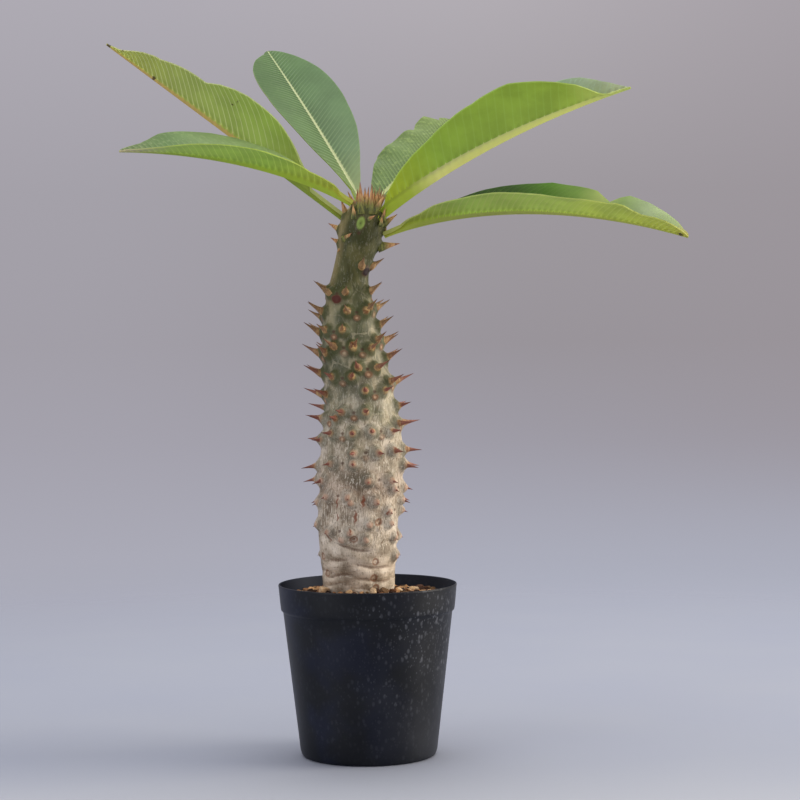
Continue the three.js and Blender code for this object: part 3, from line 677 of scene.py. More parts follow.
# %% Warts and spines
PAIR_GAP = (12.5, 9.0)
WART_RADIUS = (4.4, 5.4)
WART_HEIGHT = (3.4, 5.2)
SPINE_LENGTH = (0.6, 7.8)
SPINE_RADIUS = (0.6, 1.1)
SPINE_RISE = (-14, 24)
SPINE_BEND = (-0.6, 1.2)
HOLLOWNESS = (0.1, 0.55)
SPLAY = 0.28
SLIM_BELOW = 14
CROWN_WART = (1.6, 1.4)
CROWN_ROOT = 1.95
CUSHION = (4.2, 2.6)
CROWN_SPINES = [
    # foot, tip, radius of the root
    ((-1.5, -9, 319), (-2.2, -8.5, 336.1), 3), ((1.1, -9, 319.5), (3, -8.5, 333.5), 1.9),
    ((4.4, -9, 318.9), (4.7, -9.5, 334.6), 2.9), ((6.7, -7.5, 320.2), (7.9, -8, 331.2), 2),
    ((6.7, -9.5, 319.2), (12.2, -12, 328.5), 2.1), ((7.8, -1, 321.3), (10.5, -1.5, 331.9), 2),
    ((-4.6, -6.5, 320.3), (-9.5, -7, 330.8), 2.4), ((-3.6, -4, 321.1), (-3.8, -3.5, 332.5), 2.1),
    ((-9.8, -3.5, 315.3), (-13.4, -6, 326), 2.9), ((-5.7, -10.5, 315.5), (-6.4, -12.5, 322.6), 1.9),
    ((2.3, -11.5, 313.9), (6.7, -16, 316), 1.5), ((11, -8.5, 314.3), (12.4, -10.5, 320.8), 1.6),
    ((9.8, -9.5, 310.9), (10.4, -12.5, 316.1), 1.4), ((11.6, -3, 312), (19.5, -4.5, 317.3), 2.3),
    ((-12.8, 0, 308), (-21.1, -1, 312.5), 2.9), ((-13.2, -2, 300.3), (-19.8, -3.5, 304), 2.4),
    ((-11, -8, 303.1), (-7.3, -12.5, 306.1), 2.2), ((-13.5, -4, 298.4), (-16, -7.5, 295.1), 1.3),
    ((9.4, -1, 298.6), (20.8, -2, 300.3), 3), ((0.6, 0.6, 322.5), (0.6, 0.8, 333.5), 2.2),
    ((2, 8.8, 316.5), (2.4, 14.5, 326.5), 2.4), ((-5.6, 8.2, 315.5), (-9.2, 13, 325), 2.4),
    ((9, 6.2, 316.5), (14.4, 9.4, 326), 2.2), ((-10.8, 5.4, 303), (-15.6, 9.4, 309), 2.6),
    ((4.6, 10.2, 305), (8, 16.4, 310.5), 2.6), ((5.6, -5, 321), (6.6, -6, 333.6), 1.2),
    ((7, -4, 321), (9.6, -4.5, 334.2), 1.2), ((7.8, -4.5, 320.5), (12.2, -5.5, 331.5), 1.2),
    ((5, -3, 321.5), (4.8, -3, 335), 1.1), ((8.4, -2.5, 320.5), (13.4, -3.5, 329.5), 1.2),
]
LEAF_FEET = {
    # place of each leaf's foot, heading and rise of its stalk
    "leaf_far_left": ((-10.4, 4.6, 316.3), 172, 36),
    "leaf_low_left": ((-6.6, -7.6, 325.4), 201, 25.6),
    "leaf_back_left": ((0, 5, 322), 124.5, 48),
    "leaf_back_right": ((2.8, 5, 321.7), 54, 31.8),
    "leaf_high_right": ((8.4, -6.8, 315), -15.5, 37.5),
    "leaf_low_right": ((11, -1.8, 307.2), -14.5, 17.7),
}
print("the longest spines in pairs are about", SPINE_LENGTH[1], "mm")


# %% Warts from their nodes
def spine_rise(height):
    """How far a spine leans above level: up near the tip, level half way, a little down at the foot."""
    return math.radians(mix(*SPINE_RISE, smooth(140, 250, height)))


def pair_at(node):
    """The two warts of a node, each with its spine."""
    height, azimuth = node["height"], node["azimuth"]
    radius = curve(STEM, height)[2]
    half = mix(*PAIR_GAP, smooth(150, 270, height)) / 2 / radius
    grown = smooth(115, 175, height)
    spiny = smooth(125, 195, height)
    slim = min(1, radius / SLIM_BELOW)
    pair = []
    for sign in (-1, 1):
        around = azimuth + sign * half
        pair.append({
            "root": stem_point(height, around),
            "axis": direction(around + sign * SPLAY, spine_rise(height)),
            "wart_radius": mix(*WART_RADIUS, grown) * slim,
            "wart_height": mix(*WART_HEIGHT, grown) * slim,
            "hollow": mix(*HOLLOWNESS, grown),
            "spine_length": mix(*SPINE_LENGTH, spiny) * node["vigour"],
            "spine_radius": mix(*SPINE_RADIUS, spiny),
            "bend": mix(*SPINE_BEND, smooth(150, 230, height)),
            "crown": 0.0,
        })
    return pair


def crown_wart(foot, tip, radius):
    foot, tip = np.array(foot), np.array(tip)
    return {
        "root": foot,
        "axis": unit(tip - foot),
        "wart_radius": CROWN_WART[0] * radius,
        "wart_height": CROWN_WART[1] * radius,
        "hollow": HOLLOWNESS[1],
        "spine_length": float(np.linalg.norm(tip - foot)) - CROWN_WART[1] * radius,
        "spine_radius": radius / CROWN_ROOT,
        "bend": 0.0,
        "crown": 1.0,
    }


def cushion(foot, heading, rise):
    """The swelling of the bark that carries a leaf."""
    return {
        "root": np.array(foot),
        "axis": direction(np.radians(heading), np.radians(rise)),
        "wart_radius": CUSHION[0],
        "wart_height": CUSHION[1],
        "hollow": 0.0,
    }


warts = [wart for node in nodes if node["vigour"] > 0 for wart in pair_at(node)]
crown = [crown_wart(*row) for row in CROWN_SPINES]
cushions = [cushion(*row) for row in LEAF_FEET.values()]
print(len(warts), "spines in pairs and", len(crown), "round the tip")

# %% [markdown]
# The bark is one fine grid round the stem, pulled out into a cone at each wart. Besides its shape
# the grid carries fields: how far up a wart each point is, how deep in a crease, and its distance
# from the nearest leaf scar, bud scar, ring scar and lenticel. The finish draws those marks with
# crisp edges from the fields.

# %% Marks on the bark
RING_SCARS = [
    # height, degrees right of the front
    (138.6, 31), (129.1, -6), (115.3, 29), (108.3, -60), (106, 27), (100.1, 31), (118.1, -66),
    (129.8, 84), (112, 118), (121, 165), (104, -120), (127, -140),
]
LENTICELS = [
    # top, bottom, degrees right of the front, half width
    (154.6, 147, 5, 1), (145.5, 138, -4, 1), (154.5, 146, -33, 0.5), (144, 139, -31, 0.6),
    (134.5, 126.5, -44, 0.6), (136, 133.5, -12, 0.6), (146, 142.5, 42, 0.7), (150, 141, 110, 0.8),
    (137, 128, 150, 0.7), (152, 144, -125, 0.8), (132, 126, -160, 0.6), (165, 160, 178, 0.6),
]
SCAR_DROP = 3.2
print(len(RING_SCARS), "ring scars and", len(LENTICELS), "lenticels")


# %% Distances from the marks
def nearest_mark(height, azimuth, radius, marks):
    """The distance to the nearest mark, in millimetres. Marks are rows of height and degrees."""
    best = np.full(height.shape, 99.0)
    for level, degrees in marks:
        turn = turn_between(azimuth, math.radians(degrees - 90))
        best = np.minimum(best, np.hypot(height - level, radius * turn))
    return best


def lenticel_field(height, azimuth, radius):
    """Below 1 inside a lenticel: a short, broken, upright slit."""
    best = np.full(height.shape, 9.0)
    for top, bottom, degrees, half in LENTICELS:
        turn = turn_between(azimuth, math.radians(degrees - 90))
        middle, reach = (top + bottom) / 2, (top - bottom) / 2
        wander = 0.35 * np.sin(height * 1.9 + degrees)
        best = np.minimum(best, np.hypot((height - middle) / reach, (radius * turn + wander) / half))
    return best


def scar_fields(height, azimuth, radius):
    """Distances from the nearest leaf scar, as a share of its size, from the bud scar, and from the web."""
    scar, bud, first, second = (np.full(height.shape, 99.0) for _ in range(4))
    dark, fresh = np.zeros(height.shape), np.zeros(height.shape)
    for node in nodes:
        x = radius * turn_between(azimuth, node["azimuth"])
        z = height - node["height"]
        new = node["height"] in FRESH_SCARS
        wide, tall = (1.9, 2.9) if new else (2.2, 1.9)
        here = np.hypot(x / (wide * node["scar"]), (z + SCAR_DROP) / (tall * node["scar"]))
        nearer = here < scar
        scar = np.where(nearer, here, scar)
        bud = np.minimum(bud, np.hypot(x / 1.2, z + (9 if new else 0)))
        dark = np.where(nearer, float(node["height"] in DARK_SCARS), dark)
        fresh = np.where(nearer, float(new), fresh)
        away = np.hypot(x, 0.75 * (z + SCAR_DROP / 2))
        second = np.minimum(second, np.maximum(first, away))
        first = np.minimum(first, away)
    return {"scar": scar, "bud": bud, "dark": dark, "fresh": fresh, "web": second - first}


gap = nearest_mark(np.array(120.0), np.array(-math.pi / 2), curve(STEM, 120.0)[2], RING_SCARS)
print("120 mm up the front, the nearest ring scar is", round(float(gap), 1), "mm away")

# %% [markdown]
# The bark's colours go from olive green at the young tip, where the skin still makes sugar, through
# grey-green to silver at the foot, where it has become cork. Upright wavy fissures run all over
# it. They come from noise that is squeezed across the stem and stretched along it. Old scars are
# pinkish tan, and worn wart tips orange. Light is painted too: the side towards the right lamp is
# painted paler, the left of the young neck gets a painted sheen, and the creases at the foot and the
# flanks of the warts are darkened with painted shade.

# %% Bark finish
SILVER = [(0, 236, 223, 203), (0.5, 202, 187, 165), (1, 148, 134, 114)]
GREEN = [(0, 176, 167, 134), (0.5, 126, 126, 98), (1, 84, 88, 62)]
FRESH_SCAR = [(0, 62, 78, 28), (0.3, 120, 148, 62), (0.66, 146, 170, 84), (1, 84, 100, 42)]
SEASONS = [
    # height in metres, red, green, blue
    (0.095, 250, 250, 250), (0.110, 244, 240, 238), (0.125, 255, 255, 255), (0.146, 226, 222, 218),
    (0.158, 220, 210, 204), (0.170, 216, 212, 206), (0.182, 252, 250, 248), (0.205, 255, 255, 255),
    (0.218, 232, 228, 226), (0.240, 255, 250, 250), (0.262, 255, 255, 255), (0.290, 226, 226, 216),
]


def weather(paint, height):
    """Bands of darker and paler bark up the stem, from the dry and the wet seasons."""
    low, high = 0.09, 0.30
    stops = [((level - low) / (high - low), *shade) for level, *shade in SEASONS]
    return paint.ramp((height - low) * (1 / (high - low)), stops)


def fissures(paint, height, patch, bend):
    """Fine wavy cracks. They run up the stem, and partly round it where the foot is squashed."""
    upright = {0: paint.place((1, 1, 0.22)), 1: bend * 0.0034}
    level = {0: paint.place((0.25, 0.25, 1)), 1: bend * 0.0024}
    upright, level = [paint.node("VectorMath", {"operation": "ADD"}, places) for places in (upright, level)]
    squashed = (1 - paint.step(height + (patch - 0.5) * 0.02, 0.112, 0.132)) * 0.55
    return paint.noise(upright, 1250, 3) * (1 - squashed) + paint.noise(level, 800, 3) * squashed


# %% Colours of warts and scars
def wart_colours(paint, skin, age, speck):
    """Warts are dark olive on their flanks, deepened with painted shade, and orange at the top. Old ones are
    grey with a pink top.
    """
    patch = paint.noise(paint.place(), 420, 3)
    flank = paint.field("flank") + (speck - 0.5) * 0.14 + (patch - 0.5) * 0.30
    side = paint.step(flank, 0.14, 0.44)
    top = paint.step(flank, 0.56, 0.84)
    return paint.coats(skin, [
        # Partly the flanks' own olive, partly painted shade that deepens the cones' relief.
        (side * 0.82 * age, (70, 74, 36)),
        (side * 0.30 * (1 - age), (112, 114, 106)),
        (top * 0.85 * age, paint.tint(paint.step(patch, 0.40, 0.62), (216, 176, 112), (140, 88, 50))),
        (top * 0.50 * (1 - age), (204, 154, 124)),
    ])


def scars(paint, skin, speck):
    """Leaf scars, bud scars, ring scars and lenticels over the bark."""
    rough = (speck - 0.5) * 0.6
    scar = paint.field("scar") + rough * 0.5
    bud, ring, slit = [paint.field(name) + rough for name in ("bud", "ring", "slit")]
    height = paint.part(paint.place(), 2)
    grown = paint.step(height, 0.165, 0.195)
    shadow = paint.step(scar, 0.85, 1.05) * (1 - paint.step(scar, 1.05, 1.6))
    inside = 1 - paint.step(scar, 0.74, 1.12)
    middle = 1 - paint.step(scar, 0.10, 0.62)
    mottled = 0.5 + 0.5 * paint.step(paint.noise(paint.place(), 90, 2), 0.36, 0.52)
    burnt = paint.tint(paint.step(height, 0.272, 0.282), (84, 34, 20), (34, 12, 10))
    bright = (1 - paint.step(scar, 0.85, 1.15)) * paint.field("fresh")
    circle = paint.step(ring, 0.9, 1.5) * (1 - paint.step(ring, 1.9, 2.7))
    return paint.coats(skin, [
        (shadow * 0.45 * grown, (84, 70, 48)),
        (inside * (0.18 + 0.72 * grown) * mottled, paint.tint(middle, (128, 92, 64), (196, 160, 124))),
        (inside * paint.field("dark"), burnt),
        (bright * 0.9, paint.ramp(scar, FRESH_SCAR)),
        ((1 - paint.step(bud, 0.5, 1.3)) * 0.75, (76, 48, 32)),
        (circle * 0.7, (132, 84, 54)),
        ((1 - paint.step(ring, 0.3, 1.0)) * 0.5, (186, 140, 100)),
        ((1 - paint.step(slit, 0.60, 1.25)) * 0.85, (134, 76, 50)),
    ])


# %% Bark
def bark(paint):
    place = paint.place()
    height = paint.part(place, 2)
    patch = paint.noise(place, 95, 3)
    wave = paint.noise(paint.place((1, 1, 0.55)), 130, 2)
    bend = paint.noise(place, 260, 2)
    speck = paint.noise(place, 1900, 2)
    fissure = fissures(paint, height, patch, bend)
    age = paint.step(height + (patch - 0.5) * 0.05, 0.150, 0.235)
    young = paint.step(height, 0.240, 0.285)
    corky = 1 - paint.step(height + (patch - 0.5) * 0.03, 0.175, 0.240)
    # Painted light: the side towards the right lamp is painted paler.
    painted_light_east = paint.step(paint.field("east"), 0.40, 0.95) * (1 - young)
    # Painted sheen: the left edge of the young neck is painted paler.
    painted_sheen_west = 1 - paint.step(paint.field("east"), -0.97, -0.55)
    cracks = paint.step(fissure, 0.52, 0.68)
    ridges = 1 - paint.step(fissure, 0.32, 0.47)
    web = 1 - paint.step(paint.field("web") + (bend - 0.5) * 4.5, 0.1, 1.1)
    # Painted shade: the creases at the foot are darkened brown.
    crease = paint.step(paint.field("crease") + (fissure - 0.5) * 0.9, 0.30, 1.15)
    silver = paint.ramp(paint.step(patch, 0.3, 0.7), SILVER)
    green = paint.ramp(paint.step(wave, 0.30, 0.66), GREEN)
    bands = weather(paint, height + (patch - 0.5) * 0.02)
    skin = paint.tint(1.0, paint.tint(age, silver, green), bands, "MULTIPLY")
    skin = paint.coats(skin, [
        (young * 0.9, paint.tint(paint.step(wave, 0.3, 0.6), (88, 86, 40), (60, 62, 22))),
        (painted_light_east * 0.12, (228, 216, 190)),
        (painted_sheen_west * young * 0.7, (150, 134, 90)),
        (cracks * (0.12 + 0.56 * corky), (98, 80, 58)),
        (ridges * (0.10 + 0.50 * corky), (240, 230, 210)),
        (web * age * (1 - young) * 0.34, (196, 186, 156)),
        (crease * 0.62, (100, 72, 50)),
    ])
    skin = scars(paint, wart_colours(paint, skin, age, speck), speck)
    relief = fissure * (0.1 + 0.9 * corky) + speck * 0.12 + wave * 0.5 + web * age * 0.4
    sockets = {
        "Base Color": skin,
        "Roughness": 0.52 + cracks * 0.2,
        "Normal": paint.bump(relief, 0.8, 0.0008),
        "Specular IOR Level": 0.26,
    }
    return paint.surface(paint.node("BsdfPrincipled", None, sockets))


bark_finish = new_material("bark", bark)
print("bark finish has", len(bark_finish.node_tree.nodes), "nodes")

# %% Grid of the stem
BURIED_ROWS = 10
BARK_FROM = 91
DOME_DEGREES = (0, 30, 55, 75, 88)
STEM_ROWS = 400
STEM_SIDES = 236
WART_SPREAD = 1.25
SCAR_RAISE = 0.7


def stem_grid():
    shown_rows = STEM_ROWS - BURIED_ROWS - len(DOME_DEGREES)
    buried = np.linspace(STEM_BOTTOM, BARK_FROM, BURIED_ROWS, endpoint=False)
    shown = np.linspace(BARK_FROM, STEM_SHOULDER, shown_rows, endpoint=False)
    dome = STEM_SHOULDER + (STEM_TIP - STEM_SHOULDER) * np.sin(np.radians(DOME_DEGREES))
    heights = np.concatenate([buried, shown, dome])
    turns = np.arange(STEM_SIDES) * 2 * math.pi / STEM_SIDES
    return np.meshgrid(heights, turns, indexing="ij")


def raise_scars(points, azimuth, fields):
    """Leaf scars stand up a little from the bark, and the ring scars are shallow pits."""
    outward = direction(azimuth, 0 * azimuth)
    lift = SCAR_RAISE * (1 - smooth(0.6, 1.3, fields["scar"])) - 0.5 * (1 - smooth(1.0, 2.4, fields["ring"]))
    points += lift[..., None] * outward


def pull_out_warts(points, height):
    """Moves the grid's points out into round and hollow cones, and returns how near a top each point is."""
    base = points.copy()
    pull = np.zeros(points.shape)
    flank, tallest = np.zeros(height.shape), np.zeros(height.shape)
    for wart in warts + crown + cushions:
        spread = WART_SPREAD * wart["wart_radius"]
        rows = np.abs(height[:, 0] - wart["root"][2]) < spread
        off = np.linalg.norm(base[rows] - wart["root"], axis=-1) / spread
        near = np.clip(1 - off, 0, 1)
        rise = mix(smooth(0, 1, near), near**2, wart["hollow"]) * wart["wart_height"]
        pull[rows] += rise[..., None] * wart["axis"]
        tallest[rows] = np.maximum(tallest[rows], rise)
        flank[rows] = np.maximum(flank[rows], near)
    length = np.linalg.norm(pull, axis=-1)
    points += pull * (np.minimum(length, 1.15 * tallest) / np.maximum(length, 0.01))[..., None]
    return flank


def around_stem(points):
    """Height, azimuth and stem radius of points near the bark."""
    x, y, radius = np.moveaxis(curve(STEM, np.minimum(points[..., 2], STEM_SHOULDER)), -1, 0)
    return points[..., 2], np.arctan2(points[..., 1] - y, points[..., 0] - x), radius


# %% Stem
height, azimuth = stem_grid()
bark_points = stem_point(height, azimuth)
radius = around_stem(bark_points)[2]
bark_fields = scar_fields(height, azimuth, radius)
bark_fields["crease"] = crease_depth(height, azimuth, CREASE_HALF_WIDTHS[0])
bark_fields["ring"] = nearest_mark(height, azimuth, radius, RING_SCARS)
raise_scars(bark_points, azimuth, bark_fields)
bark_fields["flank"] = pull_out_warts(bark_points, height)
bark_fields["slit"] = lenticel_field(height, azimuth, radius)
bark_fields["east"] = np.cos(azimuth)
bark_fields.update(scar_fields(*around_stem(bark_points)))
stem = new_piece("stem_bark", bark_points, stack_faces(STEM_ROWS, STEM_SIDES), [bark_finish], bark_fields)
settle(stem, "stem", "stem")

# %% [markdown]
# Spines are hard and sharp, red-brown with an orange foot. Each is a stack of rings that shrink along a
# hollow curve, so that its foot flares into the wart. All of them are one piece, because they are all
# one material and none of them moves. The ones round the tip are young: straw and orange, not yet red.

# %% Spine finish
SPINE_SIDES = 10
SPINE_OUTLINE = [
    # share of the length, share of the spine's radius, the same round the tip
    (-0.12, 2.5, 2.3), (0.1, 2.35, 1.88), (0.22, 2, 1.6), (0.34, 1.52, 1.32), (0.46, 1.08, 1.05),
    (0.62, 0.7, 0.74), (0.8, 0.38, 0.4), (0.93, 0.17, 0.18), (1, 0.03, 0.03),
]


def horn(paint):
    along, young = paint.field("along"), paint.field("young")
    height = paint.part(paint.place(), 2)
    streak = paint.noise(paint.place((1, 1, 0.22)), 900, 3)
    leafy = paint.tint(paint.step(height, 0.170, 0.215), (160, 130, 106), (112, 98, 52))
    worn = paint.tint(paint.step(streak, 0.35, 0.65), (206, 160, 104), (146, 98, 60))
    red = paint.tint(streak, (150, 88, 66), (112, 62, 50))
    olive = paint.tint(streak, (150, 116, 70), (116, 84, 54))
    shaft = paint.tint(paint.step(height, 0.215, 0.262), red, olive)
    old = paint.coats(paint.tint(0.60, leafy, worn), [
        (paint.step(along + (streak - 0.5) * 0.25, 0.25, 0.50), shaft),
        (paint.step(along, 0.72, 1.0) * 0.8, (86, 46, 44)),
    ])
    straw = paint.tint(paint.step(streak, 0.3, 0.7), (226, 178, 118), (166, 110, 64))
    foot = paint.tint(paint.step(streak, 0.36, 0.62), (132, 132, 62), (74, 80, 30))
    fresh = paint.coats(foot, [
        (paint.step(along + (streak - 0.5) * 0.5, 0.12, 0.62), straw),
        (paint.step(along + (streak - 0.5) * 0.4, 0.60, 1.0), (146, 92, 66)),
    ])
    sockets = {
        "Base Color": paint.tint(young, old, fresh),
        "Roughness": 0.45 + streak * 0.15,
        "Normal": paint.bump(streak, 0.3, 0.0003),
    }
    return paint.surface(paint.node("BsdfPrincipled", None, sockets))


horn_finish = new_material("horn", horn)
print("spine finish has", len(horn_finish.node_tree.nodes), "nodes")


# %% Spines
def spine_rings(wart):
    share, grown, fresh = np.array(SPINE_OUTLINE).T
    thick = fresh if wart["crown"] else grown
    length = wart["wart_height"] + wart["spine_length"]
    side = unit(np.cross(UP, wart["axis"]))
    over = np.cross(wart["axis"], side)
    turns = np.arange(SPINE_SIDES) * 2 * math.pi / SPINE_SIDES
    round_part = np.cos(turns)[:, None] * side + np.sin(turns)[:, None] * over
    middle = wart["root"] + (share * length)[:, None] * wart["axis"]
    middle = middle + (np.clip(share, 0, 1) ** 2 * wart["bend"])[:, None] * UP
    return middle[:, None] + (thick * wart["spine_radius"])[:, None, None] * round_part


def spine_piece(name, listed):
    rings = len(SPINE_OUTLINE)
    points, faces, along, young = [], [], [], []
    for k, wart in enumerate(listed):
        points.append(spine_rings(wart))
        faces += stack_faces(rings, SPINE_SIDES, k * rings)
        along.append(np.repeat([row[0] for row in SPINE_OUTLINE], SPINE_SIDES))
        youth = max(wart["crown"], smooth(285, 315, wart["root"][2]) * 0.6)
        young.append(np.full(rings * SPINE_SIDES, youth))
    fields = {"along": np.concatenate(along), "young": np.concatenate(young)}
    return new_piece(name, np.concatenate(points), faces, [horn_finish], fields)


spines = spine_piece("stem_spines", warts + crown)
settle(spines, "stem", "stem")
